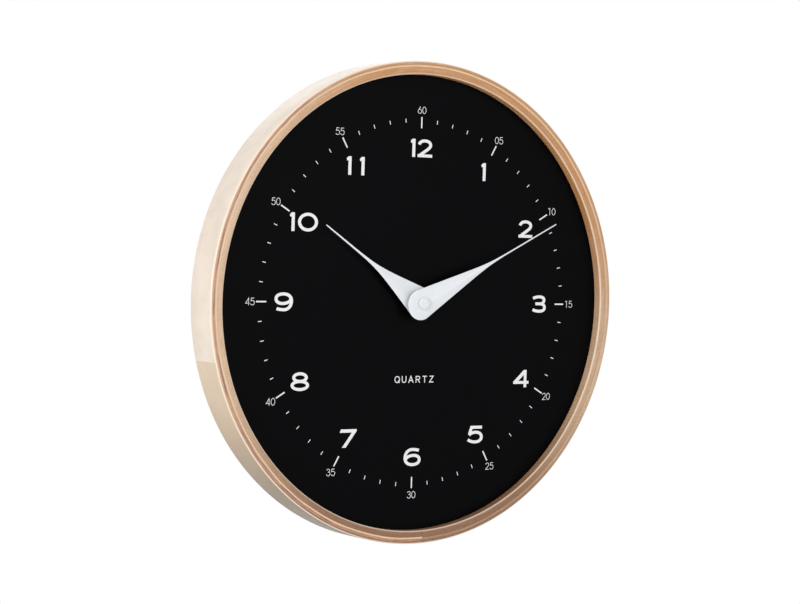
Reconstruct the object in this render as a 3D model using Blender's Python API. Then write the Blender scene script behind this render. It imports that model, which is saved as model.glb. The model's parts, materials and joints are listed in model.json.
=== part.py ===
"""A round battery wall clock: a bentwood rim, a black dial and two plain hands on a quartz movement.

Lengths are in metres. Everything is first placed in the dial's frame: X to the right, Z up, Y towards
the wall, with Y = 0 on the dial's front face and the hand axis at X = Z = 0. One empty then carries
it all, so that the world's origin is where the wall hook bears on the hanger.
"""

import math

import bmesh
import bpy
from mathutils import Matrix

MM = 0.001
GAP = 0.3 * MM              # clearance between pieces that touch on the real clock
ROUND = 80                  # segments of the large round pieces
SMALL_ROUND = 24            # segments of the small turned pieces
TINY_ROUND = 12             # segments of pins and pivots

# Rim and dial
RIM_R = 200 * MM            # outer radius
RIM_WALL = 11 * MM          # thickness of the hoop in front of the dial
RIM_REAR_WALL = 7.5 * MM    # thickness behind the lip, where the dial drops in
RIM_FRONT = 8.3 * MM        # how far the rim stands in front of the dial
RIM_DEPTH = 33 * MM
RIM_ROUND = 1.5 * MM        # rounding of the two front edges
RIM_REAR_BEVEL = 0.8 * MM
DIAL_THICK = 3 * MM

# Hands
HAND_THICK = 0.5 * MM
HOUR_HAND_FRONT = 6.0 * MM      # height of each hand's front face over the dial
MINUTE_HAND_FRONT = 10.1 * MM
MINUTE_ANGLE = math.radians(63.15)  # clockwise from 12, about ten past ten
HOUR_ANGLE = math.radians(303.6)
# Each hand: its reach from the axis, its round boss and how far that is centred ahead of the axis, the
# slope of its straight flanks, where they bend into the needle and over what length, and the needle's
# half width at the axis and at the tip
MINUTE_HAND = {"length": 153 * MM, "boss_r": 12.7 * MM, "ahead": -2.6 * MM, "slope": 0.154,
               "knee": 76 * MM, "blend": 7 * MM, "root": 0.7 * MM, "tip": 0.6 * MM}
HOUR_HAND = {"length": 113 * MM, "boss_r": 12.8 * MM, "ahead": 1.6 * MM, "slope": 0.233,
             "knee": 52.7 * MM, "blend": 7.5 * MM, "root": 1.36 * MM, "tip": 0.55 * MM}
CAP_R = 4.85 * MM
CAP_HEIGHT = 1.9 * MM
CAP_EDGE = 0.5 * MM         # chamfer of the cap's front edge
CAP_FRONT_WALL = 0.4 * MM   # material in front of the cap's blind bore

# Hand arbor, bush and what clamps the movement to the dial
BUSH_R = 3.8 * MM
BUSH_BORE_R = 2.8 * MM
BUSH_OUT = 3.7 * MM             # how far the bush stands in front of the dial
BUSH_FLANGE_R = 5.2 * MM
BUSH_FLANGE_THICK = 0.7 * MM
HOUR_TUBE_R = 2.5 * MM
HOUR_TUBE_BORE_R = 1.95 * MM
ARBOR_R = 1.6 * MM
HAND_SEAT_R = 1.3 * MM
ARBOR_REAR_R = 1.1 * MM
WASHER_R = 7 * MM
WASHER_THICK = 0.5 * MM
NUT_FLATS = 10 * MM
NUT_THICK = 2.3 * MM
GASKET_R = 9 * MM
GASKET_THICK = 0.9 * MM
COLLET_WALL = 0.9 * MM
COLLET_LONG = 1.2 * MM

# Hanger
HANGER_WIDE = 16 * MM
HANGER_THICK = 0.8 * MM
HANGER_FOOT = 10 * MM           # how far the strip reaches below the axis
HANGER_OVER = 1.7 * MM          # clearance over the movement's top
HANGER_TOP = 5 * MM             # material over the slot
SLOT_R = 2.5 * MM
SLOT_EYE_R = 4.5 * MM
SLOT_EYE_RISE = 7 * MM          # from the strip's bend to the eye's centre
SLOT_TRAVEL = 5.5 * MM          # from the eye's centre to the slot's round end

# Dial clips
CLIP_ANGLES = (45, 135, 225, 315)
CLIP_WIDE = 12 * MM
CLIP_THICK = 0.8 * MM
CLIP_LEG = 10 * MM
CLIP_HOLE = 6 * MM              # from the clip's front face to its screw
CLIP_FOOT = 9 * MM
SCREW_R = 1.0 * MM
SCREW_HEAD_R = 2.4 * MM
SCREW_HEAD_THICK = 1.2 * MM
SCREW_LONG = 5.5 * MM

# Movement case; its outer size follows from the cell and the wheels
CASE_CORNER = 3 * MM
CASE_WALL = 1.2 * MM
CASE_FLOOR = 1.4 * MM
BAY_FLOOR = 1.0 * MM
BAY_WALL = 1.0 * MM             # between the bay and the wheels' room
WHEEL_ROOM = 10.5 * MM          # from the hand axis down to that wall
COVER_THICK = 1.3 * MM
COVER_LEDGE = 0.4 * MM          # how far the cover laps the bay's edges
CUP_DEPTH = 0.8 * MM
POST_R = 1.4 * MM
POST_INSET = 3.2 * MM           # from the outer wall to a post's axis
POST_RISE = 2 * MM              # from the bay's wall to a lower post's axis
TRAIN_PLATE_THICK = 1.0 * MM
TRAIN_PLATE_ROOM = 0.8 * MM     # between the rearmost wheel and the plate

# Battery, an AA cell lying along X
CELL_R = 7.25 * MM
CELL_BODY = 49.2 * MM
CELL_NUB = 1.3 * MM
CELL_NUB_R = 2.75 * MM
CELL_EDGE = 0.6 * MM
CELL_ROOM = 0.8 * MM            # spare width of the bay
CELL_SUNK = 0.2 * MM            # from the cell's rearmost line to the case's rear face
CELL_PLAY = 0.2 * MM            # between the cell's nub and its contact
CONTACT_THICK = 0.4 * MM
CONTACT_WIDE = 6 * MM
CONTACT_HIGH = 9 * MM
BUMP_WIDE = 3 * MM              # the raised fold of the negative contact

# Wheels: the module of each mesh, tooth counts, and where each arbor stands
PRESSURE = math.radians(20)
ADDENDUM = 0.8                  # in modules
DEDENDUM = 1.05
TOOTH_SHARE = 0.8               # tooth width at the pitch circle, as a share of half the pitch
CANNON_TEETH, MOTION_TEETH, CANNON_MODULE = 12, 36, 0.5 * MM
MOTION_PINION_TEETH, HOUR_TEETH = 10, 40
SETTING_TEETH = 18
CENTRE_TEETH, THIRD_PINION_TEETH, CENTRE_MODULE = 64, 8, 0.3 * MM
THIRD_TEETH, SECONDS_PINION_TEETH, THIRD_MODULE = 60, 8, 0.25 * MM
SECONDS_TEETH, MIDDLE_PINION_TEETH, SECONDS_MODULE = 50, 10, 0.26 * MM
MIDDLE_TEETH, ROTOR_PINION_TEETH, MIDDLE_MODULE = 48, 8, 0.25 * MM
MOTION_BEARING = 150            # direction of each arbor from the one before, in degrees
SETTING_BEARING = 110
THIRD_BEARING = 50
SECONDS_BEARING = -25
MIDDLE_BEARING = 60
ROTOR_BEARING = 150
PIVOT_R = 0.5 * MM
PIVOT_ROOM = 0.4 * MM
WHEEL_THICK = 0.8 * MM
WHEEL_SPACE = 0.9 * MM          # between one wheel and the next one behind it
WHEEL_PLAY = 0.6 * MM           # between the front floor and the first wheel
MIDDLE_SPACE = 0.6 * MM
MOTION_PIVOT_R = 0.7 * MM
KNOB_SHAFT_R = 1.4 * MM
KNOB_SHAFT_END_R = 1.0 * MM
KNOB_R = 5.5 * MM
KNOB_THICK = 1.9 * MM
KNOB_GRIP = 1.1 * MM            # length of the shaft's end inside the knob
KNOB_FLUTES = 20
KNOB_FLUTE_DEPTH = 0.5 * MM

# Motor and circuit
MAGNET_R = 3.0 * MM
MAGNET_LONG = 3.0 * MM
MAGNET_LIFT = 1.5 * MM          # from the front floor to the magnet
ROTOR_R = 0.4 * MM
STATOR_THICK = 1.0 * MM
STATOR_AIR = 0.4 * MM
STATOR_RIB = 1.0 * MM
STATOR_SHELF = 0.5 * MM         # from the rotor's axis up to the plate's lower edges
CORE_WIDE = 2.4 * MM
CORE_THICK = 1.0 * MM
EAR_WIDE = 4 * MM
COIL_ASIDE = 5 * MM             # from the rotor's axis to the coil's middle
COIL_LONG = 17 * MM
BOBBIN_WALL = 0.6 * MM
BOBBIN_FLANGE = 6 * MM
BOBBIN_FLANGE_THICK = 0.8 * MM
WINDING_WIDE = 5.4 * MM
BOARD_WIDE = 14.6 * MM
BOARD_HIGH = 21.5 * MM
BOARD_THICK = 0.8 * MM
CRYSTAL_R = 1.0 * MM
CRYSTAL_LONG = 6 * MM
CRYSTAL_X = 3.6 * MM            # from the board's lower left corner
CRYSTAL_Z = 12.9 * MM
CHIP_R = 2.6 * MM
CHIP_SHOULDER_R = 2.1 * MM
CHIP_SHOULDER = 0.8 * MM
CHIP_HIGH = 1.2 * MM
CHIP_X = 9.9 * MM
CHIP_Z = 8.6 * MM

# Where the pieces lie along Y, from the dial's front face at 0
DIAL_BACK = DIAL_THICK
HANGER_Y = DIAL_BACK + GAP
GASKET_Y = HANGER_Y + HANGER_THICK + GAP
CASE_Y = GASKET_Y + GASKET_THICK + GAP
ROOM_Y = CASE_Y + CASE_FLOOR
CUP_Y = ROOM_Y - CUP_DEPTH
HOUR_WHEEL_Y = ROOM_Y + WHEEL_PLAY
MOTION_Y = HOUR_WHEEL_Y + WHEEL_THICK + WHEEL_SPACE
CENTRE_Y = MOTION_Y + WHEEL_THICK + WHEEL_SPACE
THIRD_Y = CENTRE_Y + WHEEL_THICK + WHEEL_SPACE
SECONDS_Y = THIRD_Y + WHEEL_THICK + WHEEL_SPACE
MIDDLE_Y = SECONDS_Y + WHEEL_THICK + MIDDLE_SPACE
PLATE_Y = MIDDLE_Y + WHEEL_THICK + TRAIN_PLATE_ROOM
PLATE_BACK = PLATE_Y + TRAIN_PLATE_THICK
BAY_FLOOR_Y = CASE_Y + BAY_FLOOR
CELL_Y = BAY_FLOOR_Y + GAP + CELL_R
CASE_BACK = max(CELL_Y + CELL_R + CELL_SUNK, PLATE_BACK + COVER_THICK + 2 * GAP)
TRAY_BACK = CASE_BACK - COVER_THICK - GAP
PIVOT_FRONT = CUP_Y + GAP
PIVOT_REAR = PLATE_Y + TRAIN_PLATE_THICK / 2
RIM_LIP_R = RIM_R - RIM_WALL
RIM_REBATE_R = RIM_R - RIM_REAR_WALL
RIM_BACK = RIM_DEPTH - RIM_FRONT
SCREW_Y = DIAL_BACK + GAP + CLIP_HOLE
MAGNET_Y = ROOM_Y + MAGNET_LIFT
STATOR_Y = MAGNET_Y + (MAGNET_LONG - STATOR_THICK) / 2
CORE_Y = STATOR_Y + STATOR_THICK + GAP

# The movement's plan
BAY_HIGH = 2 * CELL_R + CELL_ROOM
ROOM_HALF = max(WHEEL_ROOM + BAY_WALL + BAY_HIGH,
                CELL_BODY / 2 + CELL_NUB + CELL_PLAY + CONTACT_THICK + GAP)
CASE_HALF = ROOM_HALF + CASE_WALL
BAY_TOP = -ROOM_HALF + BAY_HIGH
ROOM_LOW = BAY_TOP + BAY_WALL
CELL_Z = -ROOM_HALF + BAY_HIGH / 2
CORE_Z = ROOM_HALF - GAP - BOBBIN_FLANGE / 2
POST = CASE_HALF - POST_INSET
POST_LOW = ROOM_LOW + POST_RISE

# Where the hanger's slot bears, and so where the origin is
BEND_Z = CASE_HALF + HANGER_OVER + HANGER_THICK
UPRIGHT_Y = CASE_BACK + GAP
EYE_Z = BEND_Z + SLOT_EYE_RISE
SLOT_Z = EYE_Z + SLOT_TRAVEL
HOOK_Z = SLOT_Z + SLOT_R
HOOK_Y = UPRIGHT_Y + HANGER_THICK / 2


def beyond(start, bearing, distance):
    """The point (x, z) at a distance from start, its bearing in degrees from +X towards +Z."""
    turn = math.radians(bearing)
    return (start[0] + distance * math.cos(turn), start[1] + distance * math.sin(turn))


def centre_distance(teeth, other_teeth, module):
    return (teeth + other_teeth) * module / 2


HAND_AXIS = (0.0, 0.0)
MOTION_DISTANCE = centre_distance(CANNON_TEETH, MOTION_TEETH, CANNON_MODULE)
HOUR_MODULE = 2 * MOTION_DISTANCE / (MOTION_PINION_TEETH + HOUR_TEETH)
MOTION_AXIS = beyond(HAND_AXIS, MOTION_BEARING, MOTION_DISTANCE)
SETTING_AXIS = beyond(MOTION_AXIS, SETTING_BEARING,
                      centre_distance(MOTION_TEETH, SETTING_TEETH, CANNON_MODULE))
THIRD_AXIS = beyond(HAND_AXIS, THIRD_BEARING,
                    centre_distance(CENTRE_TEETH, THIRD_PINION_TEETH, CENTRE_MODULE))
SECONDS_AXIS = beyond(THIRD_AXIS, SECONDS_BEARING,
                      centre_distance(THIRD_TEETH, SECONDS_PINION_TEETH, THIRD_MODULE))
MIDDLE_AXIS = beyond(SECONDS_AXIS, MIDDLE_BEARING,
                     centre_distance(SECONDS_TEETH, MIDDLE_PINION_TEETH, SECONDS_MODULE))
ROTOR_AXIS = beyond(MIDDLE_AXIS, ROTOR_BEARING,
                    centre_distance(MIDDLE_TEETH, ROTOR_PINION_TEETH, MIDDLE_MODULE))

# Materials: colour, roughness, metallic
FINISHES = {
    "birch_ply": ((0.80, 0.62, 0.42), 0.5, 0.0),
    "black_dial": ((0.010, 0.010, 0.011), 0.4, 0.0),
    "white_lacquer": ((0.82, 0.82, 0.83), 0.45, 0.0),
    "brass": ((0.70, 0.52, 0.22), 0.3, 1.0),
    "zinc_steel": ((0.62, 0.63, 0.65), 0.35, 1.0),
    "black_plastic": ((0.02, 0.02, 0.022), 0.5, 0.0),
    "white_plastic": ((0.85, 0.84, 0.80), 0.4, 0.0),
    "rubber": ((0.03, 0.03, 0.03), 0.8, 0.0),
    "copper": ((0.72, 0.32, 0.16), 0.3, 1.0),
    "circuit_green": ((0.03, 0.16, 0.07), 0.5, 0.0),
    "magnet": ((0.08, 0.08, 0.085), 0.5, 0.6),
    "cell_jacket": ((0.05, 0.05, 0.06), 0.3, 0.0),
}


def clear_scene():
    for obj in list(bpy.data.objects):
        bpy.data.objects.remove(obj)


def make_material(name):
    colour, roughness, metallic = FINISHES[name]
    material = bpy.data.materials.get(name) or bpy.data.materials.new(name)
    material.use_nodes = True
    shader = material.node_tree.nodes["Principled BSDF"]
    shader.inputs["Base Color"].default_value = (*colour, 1)
    shader.inputs["Roughness"].default_value = roughness
    shader.inputs["Metallic"].default_value = metallic
    return material


def make_frame():
    """The empty that carries the dial's frame, placed so that the hook point is the origin."""
    frame = bpy.data.objects.new("dial_frame", None)
    frame.location = (0, -HOOK_Y, -HOOK_Z)
    bpy.context.scene.collection.objects.link(frame)
    return frame


def place(name, bm, finish, axis=HAND_AXIS, turn=(0, 0, 0), height=0.0):
    """Make the object from a bmesh that is drawn around its own axis, and stand it on that axis."""
    bmesh.ops.recalc_face_normals(bm, faces=bm.faces)
    mesh = bpy.data.meshes.new(name)
    bm.to_mesh(mesh)
    bm.free()
    mesh.materials.append(make_material(finish))
    obj = bpy.data.objects.new(name, mesh)
    bpy.context.scene.collection.objects.link(obj)
    obj.parent = bpy.data.objects["dial_frame"]
    obj.location = (axis[0], height, axis[1])
    obj.rotation_euler = turn
    mesh.shade_smooth()
    mesh.set_sharp_from_angle(angle=math.radians(35))
    return obj


def circle(radius, segments=SMALL_ROUND, centre=(0.0, 0.0)):
    turns = [2 * math.pi * i / segments for i in range(segments)]
    return [(centre[0] + radius * math.cos(t), centre[1] + radius * math.sin(t)) for t in turns]


def rectangle(x0, x1, z0, z1):
    return [(x0, z0), (x1, z0), (x1, z1), (x0, z1)]


def rounded_square(half, corner, steps=4):
    """A square outline about the hand axis with round corners."""
    inner = half - corner
    points = []
    for quarter, (sx, sz) in enumerate(((1, 1), (-1, 1), (-1, -1), (1, -1))):
        for i in range(steps + 1):
            turn = math.radians(90 * (quarter + i / steps))
            points.append((sx * inner + corner * math.cos(turn), sz * inner + corner * math.sin(turn)))
    return points


def prism(outer, y0, y1, holes=()):
    """A plate from y0 to y1 with the outline outer, drawn in X and Z, and holes right through it."""
    bm = bmesh.new()
    edges = []
    for outline in (outer, *holes):
        verts = [bm.verts.new((x, y0, z)) for x, z in outline]
        edges += [bm.edges.new(pair) for pair in zip(verts, verts[1:] + verts[:1])]
    bmesh.ops.triangle_fill(bm, use_beauty=True, edges=edges)
    raised = bmesh.ops.extrude_face_region(bm, geom=bm.faces[:])
    far = [item for item in raised["geom"] if isinstance(item, bmesh.types.BMVert)]
    bmesh.ops.translate(bm, vec=(0, y1 - y0, 0), verts=far)
    bmesh.ops.recalc_face_normals(bm, faces=bm.faces)
    return bm


def box(x0, x1, y0, y1, z0, z1):
    return prism(rectangle(x0, x1, z0, z1), y0, y1)


def turned(profile, segments=SMALL_ROUND, closed=False):
    """A piece turned about Y from its profile of (radius, y) points; closed joins its two ends."""
    bm = bmesh.new()
    verts = [bm.verts.new((radius, y, 0)) for radius, y in profile]
    ends = verts[1:] + verts[:1] if closed else verts[1:]
    edges = [bm.edges.new(pair) for pair in zip(verts, ends)]
    bmesh.ops.spin(bm, geom=verts + edges, cent=(0, 0, 0), axis=(0, 1, 0), angle=2 * math.pi,
                   steps=segments, use_merge=True)
    bmesh.ops.remove_doubles(bm, verts=bm.verts, dist=0.002 * MM)
    bmesh.ops.recalc_face_normals(bm, faces=bm.faces)
    return bm


def ring(inner, outer, y0, y1, segments=SMALL_ROUND):
    return turned([(inner, y0), (outer, y0), (outer, y1), (inner, y1)], segments, closed=True)


def rod(steps, segments=TINY_ROUND):
    """A stepped rod about Y, from a list of (radius, y0, y1) that runs towards +Y."""
    profile = [(0, steps[0][1])]
    for radius, y0, y1 in steps:
        profile += [(radius, y0), (radius, y1)]
    return turned(profile + [(0, steps[-1][2])], segments)


def moved(bm, x=0.0, y=0.0, z=0.0):
    bmesh.ops.translate(bm, vec=(x, y, z), verts=bm.verts)
    return bm


def as_object(bm, name):
    mesh = bpy.data.meshes.new(name)
    bm.to_mesh(mesh)
    bm.free()
    obj = bpy.data.objects.new(name, mesh)
    bpy.context.scene.collection.objects.link(obj)
    return obj


def combine(base, tools, operation):
    """The base bmesh with each tool bmesh joined (UNION) or cut away (DIFFERENCE)."""
    body = as_object(base, "working_body")
    for tool in tools:
        helper = as_object(tool, "working_tool")
        modifier = body.modifiers.new("cut", "BOOLEAN")
        modifier.solver = "EXACT"
        modifier.operation = operation
        modifier.object = helper
        bpy.context.view_layer.update()
        result = bpy.data.meshes.new_from_object(body.evaluated_get(bpy.context.evaluated_depsgraph_get()))
        body.modifiers.clear()
        body.data = result
        bpy.data.objects.remove(helper)
    bm = bmesh.new()
    bm.from_mesh(body.data)
    bpy.data.objects.remove(body)
    return bm


def cut(base, *tools):
    return combine(base, tools, "DIFFERENCE")


def join(base, *tools):
    return combine(base, tools, "UNION")


def involute(angle):
    return math.tan(angle) - angle


def gear_outline(teeth, module, phase):
    """Thinned involute teeth, one of them centred on the angle phase, from +X towards +Z."""
    pitch_r = teeth * module / 2
    base_r = pitch_r * math.cos(PRESSURE)
    root_r = pitch_r - DEDENDUM * module
    tip_r = pitch_r + ADDENDUM * module
    radii = [root_r, base_r, tip_r] if root_r < base_r else [root_r, tip_r]

    def half_width(radius):
        lean = math.acos(base_r / max(radius, base_r))
        return TOOTH_SHARE * math.pi / (2 * teeth) + involute(PRESSURE) - involute(lean)

    points = []
    for tooth in range(teeth):
        middle = phase + 2 * math.pi * tooth / teeth
        rising = [(r, middle - half_width(r)) for r in radii]
        falling = [(r, middle + half_width(r)) for r in reversed(radii)]
        points += [(r * math.cos(t), r * math.sin(t)) for r, t in rising + falling]
    return points


def meshed_phase(phase, axis, teeth, other_axis, other_teeth):
    """The phase of a second gear whose gap faces a tooth of the first, wherever that tooth is."""
    line = math.atan2(other_axis[1] - axis[1], other_axis[0] - axis[0])
    return line + math.pi + math.pi / other_teeth - (phase - line) * teeth / other_teeth


def flank_half_width(hand, along):
    """Half the hand's width at a distance along it: a straight flank that runs into the needle."""
    needle = hand["root"] + (hand["tip"] - hand["root"]) * along / hand["length"]
    reach = (hand["knee"] - along) / hand["blend"]
    return needle + hand["slope"] * hand["blend"] * math.log1p(math.exp(reach))


def hand_outline(hand, flank_steps=20, boss_steps=22):
    """A teardrop hand that points up: a round boss, straight flanks and a thin needle."""
    lean = math.atan(hand["slope"])
    start = hand["boss_r"] * math.sin(lean) + hand["ahead"]
    end = hand["length"] - hand["tip"]
    side = []
    for i in range(flank_steps + 1):
        along = start + (end - start) * i / flank_steps
        side.append((flank_half_width(hand, along), along))
    side[0] = (hand["boss_r"] * math.cos(lean), start)
    tip = [(hand["tip"] / 2, hand["length"]), (-hand["tip"] / 2, hand["length"])]
    boss = []
    for i in range(1, boss_steps):
        turn = math.pi - lean + (math.pi + 2 * lean) * i / boss_steps
        boss.append((hand["boss_r"] * math.cos(turn), hand["boss_r"] * math.sin(turn) + hand["ahead"]))
    return side + tip + [(-x, z) for x, z in reversed(side)] + boss


def make_rim():
    soft = RIM_ROUND * (1 - math.cos(math.pi / 4))
    front = -RIM_FRONT
    profile = [
        (RIM_LIP_R, -GAP),
        (RIM_LIP_R, front + RIM_ROUND),
        (RIM_LIP_R + soft, front + soft),
        (RIM_LIP_R + RIM_ROUND, front),
        (RIM_R - RIM_ROUND, front),
        (RIM_R - soft, front + soft),
        (RIM_R, front + RIM_ROUND),
        (RIM_R, RIM_BACK - RIM_REAR_BEVEL),
        (RIM_R - RIM_REAR_BEVEL, RIM_BACK),
        (RIM_REBATE_R, RIM_BACK),
        (RIM_REBATE_R, -GAP),
    ]
    hoop = turned(profile, ROUND, closed=True)
    bores = []
    for angle in CLIP_ANGLES:
        bore = rod([(SCREW_R + GAP, 0, SCREW_LONG)])
        bores.append(lay_radially(bore, angle, RIM_REBATE_R - GAP - CLIP_THICK))
    place("bentwood_rim", cut(hoop, *bores), "birch_ply")


def lay_radially(bm, angle, radius):
    """Turn a piece drawn along +Y so that it points outwards at a clip, at the clip screw's height."""
    bmesh.ops.rotate(bm, cent=(0, 0, 0), matrix=Matrix.Rotation(-math.pi / 2, 3, "Z"), verts=bm.verts)
    bmesh.ops.translate(bm, vec=(radius, SCREW_Y, 0), verts=bm.verts)
    turn = Matrix.Rotation(-math.radians(angle), 3, "Y")
    bmesh.ops.rotate(bm, cent=(0, 0, 0), matrix=turn, verts=bm.verts)
    return bm


def make_dial():
    disc_r = RIM_REBATE_R - GAP
    place("dial_panel", ring(BUSH_R + GAP, disc_r, 0, DIAL_BACK, ROUND), "black_dial")


def make_dial_clips():
    """Bent steel clips that hold the dial against the lip, each with a screw into the rim."""
    back = DIAL_BACK + GAP
    outer = RIM_REBATE_R - GAP
    for number, angle in enumerate(CLIP_ANGLES, 1):
        turn = (0, -math.radians(angle), 0)
        half = CLIP_WIDE / 2
        leg = box(outer - CLIP_THICK, outer, back, back + CLIP_LEG, -half, half)
        foot = box(outer - CLIP_FOOT, outer - CLIP_THICK / 2, back, back + CLIP_THICK, -half, half)
        hole = rod([(SCREW_R + GAP, -2 * CLIP_THICK, 2 * CLIP_THICK)])
        bmesh.ops.rotate(hole, cent=(0, 0, 0), matrix=Matrix.Rotation(-math.pi / 2, 3, "Z"), verts=hole.verts)
        moved(hole, outer, SCREW_Y)
        place(f"dial_clip_{number}", cut(join(leg, foot), hole), "zinc_steel", turn=turn)
        screw = rod([(SCREW_HEAD_R, -SCREW_HEAD_THICK - GAP, -GAP), (SCREW_R, -GAP, SCREW_LONG - GAP)])
        place(f"clip_screw_{number}", lay_radially(screw, angle, outer - CLIP_THICK), "zinc_steel")


def make_hands():
    minute_hole = circle(HAND_SEAT_R + GAP, TINY_ROUND)
    hour_hole = circle(HOUR_TUBE_R + GAP)
    minute = prism(hand_outline(MINUTE_HAND), -MINUTE_HAND_FRONT, HAND_THICK - MINUTE_HAND_FRONT,
                   [minute_hole])
    hour = prism(hand_outline(HOUR_HAND), -HOUR_HAND_FRONT, HAND_THICK - HOUR_HAND_FRONT, [hour_hole])
    place("minute_hand", minute, "white_lacquer", turn=(0, MINUTE_ANGLE, 0))
    place("hour_hand", hour, "white_lacquer", turn=(0, HOUR_ANGLE, 0))
    collet_y = HAND_THICK - HOUR_HAND_FRONT + GAP
    bore = HOUR_TUBE_R + GAP
    place("hour_hand_collet", ring(bore, bore + COLLET_WALL, collet_y, collet_y + COLLET_LONG), "brass")
    base = -MINUTE_HAND_FRONT - GAP
    front = base - CAP_HEIGHT
    bore_end = front + CAP_FRONT_WALL
    cap = turned([(0, front), (CAP_R - CAP_EDGE, front), (CAP_R, front + CAP_EDGE), (CAP_R, base),
                  (HAND_SEAT_R, base), (HAND_SEAT_R, bore_end), (0, bore_end)])
    place("hub_cap", cap, "white_lacquer")


def make_clamping():
    """The threaded bush, its nut and washer, the rubber gasket and the hanger behind the dial."""
    flange_y = CASE_Y - GAP - BUSH_FLANGE_THICK
    bush = turned([(BUSH_BORE_R, -BUSH_OUT), (BUSH_R, -BUSH_OUT), (BUSH_R, flange_y),
                   (BUSH_FLANGE_R, flange_y), (BUSH_FLANGE_R, CASE_Y - GAP), (BUSH_R, CASE_Y - GAP),
                   (BUSH_R, ROOM_Y - GAP), (BUSH_BORE_R, ROOM_Y - GAP)], closed=True)
    place("threaded_bush", bush, "brass")
    washer_back = -GAP
    washer_front = washer_back - WASHER_THICK
    place("brass_washer", ring(BUSH_R + GAP, WASHER_R, washer_front, washer_back), "brass")
    nut_back = washer_front - GAP
    corner_r = NUT_FLATS / 2 / math.cos(math.pi / 6)
    nut = prism(circle(corner_r, 6), nut_back - NUT_THICK, nut_back, [circle(BUSH_R + GAP)])
    place("hex_nut", nut, "brass")
    gasket = ring(BUSH_FLANGE_R + 2 * GAP, GASKET_R, GASKET_Y, GASKET_Y + GASKET_THICK)
    place("rubber_gasket", gasket, "rubber")
    place("hanger_plate", make_hanger(), "zinc_steel")


def make_hanger():
    """A steel strip from the bush, back over the movement, and up to a keyhole slot by the wall."""
    half = HANGER_WIDE / 2
    top = HOOK_Z + HANGER_TOP
    bend = BEND_Z - HANGER_THICK
    upright_back = UPRIGHT_Y + HANGER_THICK
    front = prism(rectangle(-half, half, -HANGER_FOOT, BEND_Z), HANGER_Y, HANGER_Y + HANGER_THICK,
                  [circle(BUSH_R + GAP)])
    shelf = box(-half, half, HANGER_Y, upright_back, bend, BEND_Z)
    upright = box(-half, half, UPRIGHT_Y, upright_back, bend, top)
    strip = join(front, shelf, upright)
    y0 = UPRIGHT_Y - GAP
    y1 = upright_back + GAP
    eye = prism(circle(SLOT_EYE_R, SMALL_ROUND, (0, EYE_Z)), y0, y1)
    slot = prism(rectangle(-SLOT_R, SLOT_R, EYE_Z, SLOT_Z), y0, y1)
    end = prism(circle(SLOT_R, SMALL_ROUND, (0, SLOT_Z)), y0 - GAP, y1 + GAP)
    return cut(strip, eye, slot, end)


def arbor_axes():
    """Each arbor that runs in the front floor and the train plate, with its pivot's radius."""
    return [(MOTION_AXIS, MOTION_PIVOT_R), (SETTING_AXIS, KNOB_SHAFT_R), (THIRD_AXIS, PIVOT_R),
            (SECONDS_AXIS, PIVOT_R), (MIDDLE_AXIS, PIVOT_R), (ROTOR_AXIS, ROTOR_R)]


def posts():
    return [(-POST, POST_LOW), (POST, POST_LOW), (-POST, POST), (POST, POST)]


def make_movement_case():
    outline = rounded_square(CASE_HALF, CASE_CORNER)
    beyond_back = TRAY_BACK + GAP
    room = box(-ROOM_HALF, ROOM_HALF, ROOM_Y, beyond_back, ROOM_LOW, ROOM_HALF)
    bay = box(-ROOM_HALF, ROOM_HALF, BAY_FLOOR_Y, beyond_back, -ROOM_HALF, BAY_TOP)
    hole = rod([(BUSH_R + GAP, CASE_Y - GAP, ROOM_Y + GAP)], SMALL_ROUND)
    cups = [moved(rod([(r + PIVOT_ROOM, CUP_Y, ROOM_Y + GAP)]), x, 0, z) for (x, z), r in arbor_axes()]
    tray = cut(prism(outline, CASE_Y, TRAY_BACK), room, bay, hole, *cups)
    pillars = [moved(rod([(POST_R, ROOM_Y - GAP, PLATE_Y - GAP)]), x, 0, z) for x, z in posts()]
    place("movement_case", join(tray, *pillars), "black_plastic")


def make_movement_cover():
    edge = ROOM_HALF - COVER_LEDGE
    bay = rectangle(-edge, edge, -edge, BAY_TOP - COVER_LEDGE)
    shaft = circle(KNOB_SHAFT_R + GAP, TINY_ROUND, SETTING_AXIS)
    cover = prism(rounded_square(CASE_HALF, CASE_CORNER), TRAY_BACK + GAP, CASE_BACK, [bay, shaft])
    place("movement_cover", cover, "black_plastic")


def make_train_plate():
    edge = ROOM_HALF - GAP
    holes = [circle(r + PIVOT_ROOM, TINY_ROUND, axis) for axis, r in arbor_axes()]
    holes.append(circle(ARBOR_REAR_R + PIVOT_ROOM, TINY_ROUND))
    plate = prism(rectangle(-edge, edge, ROOM_LOW + GAP, edge), PLATE_Y, PLATE_BACK, holes)
    place("train_plate", plate, "white_plastic")


def wheel_with_pinion(wheel, wheel_y, pinion, pinion_y0, pinion_y1, pivot_r):
    """A wheel and a longer pinion on one arbor, moulded as one piece."""
    disc = prism(wheel, wheel_y, wheel_y + WHEEL_THICK)
    leaves = prism(pinion, pinion_y0, pinion_y1)
    arbor = rod([(pivot_r, PIVOT_FRONT, PIVOT_REAR)])
    return join(disc, leaves, arbor)


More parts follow.
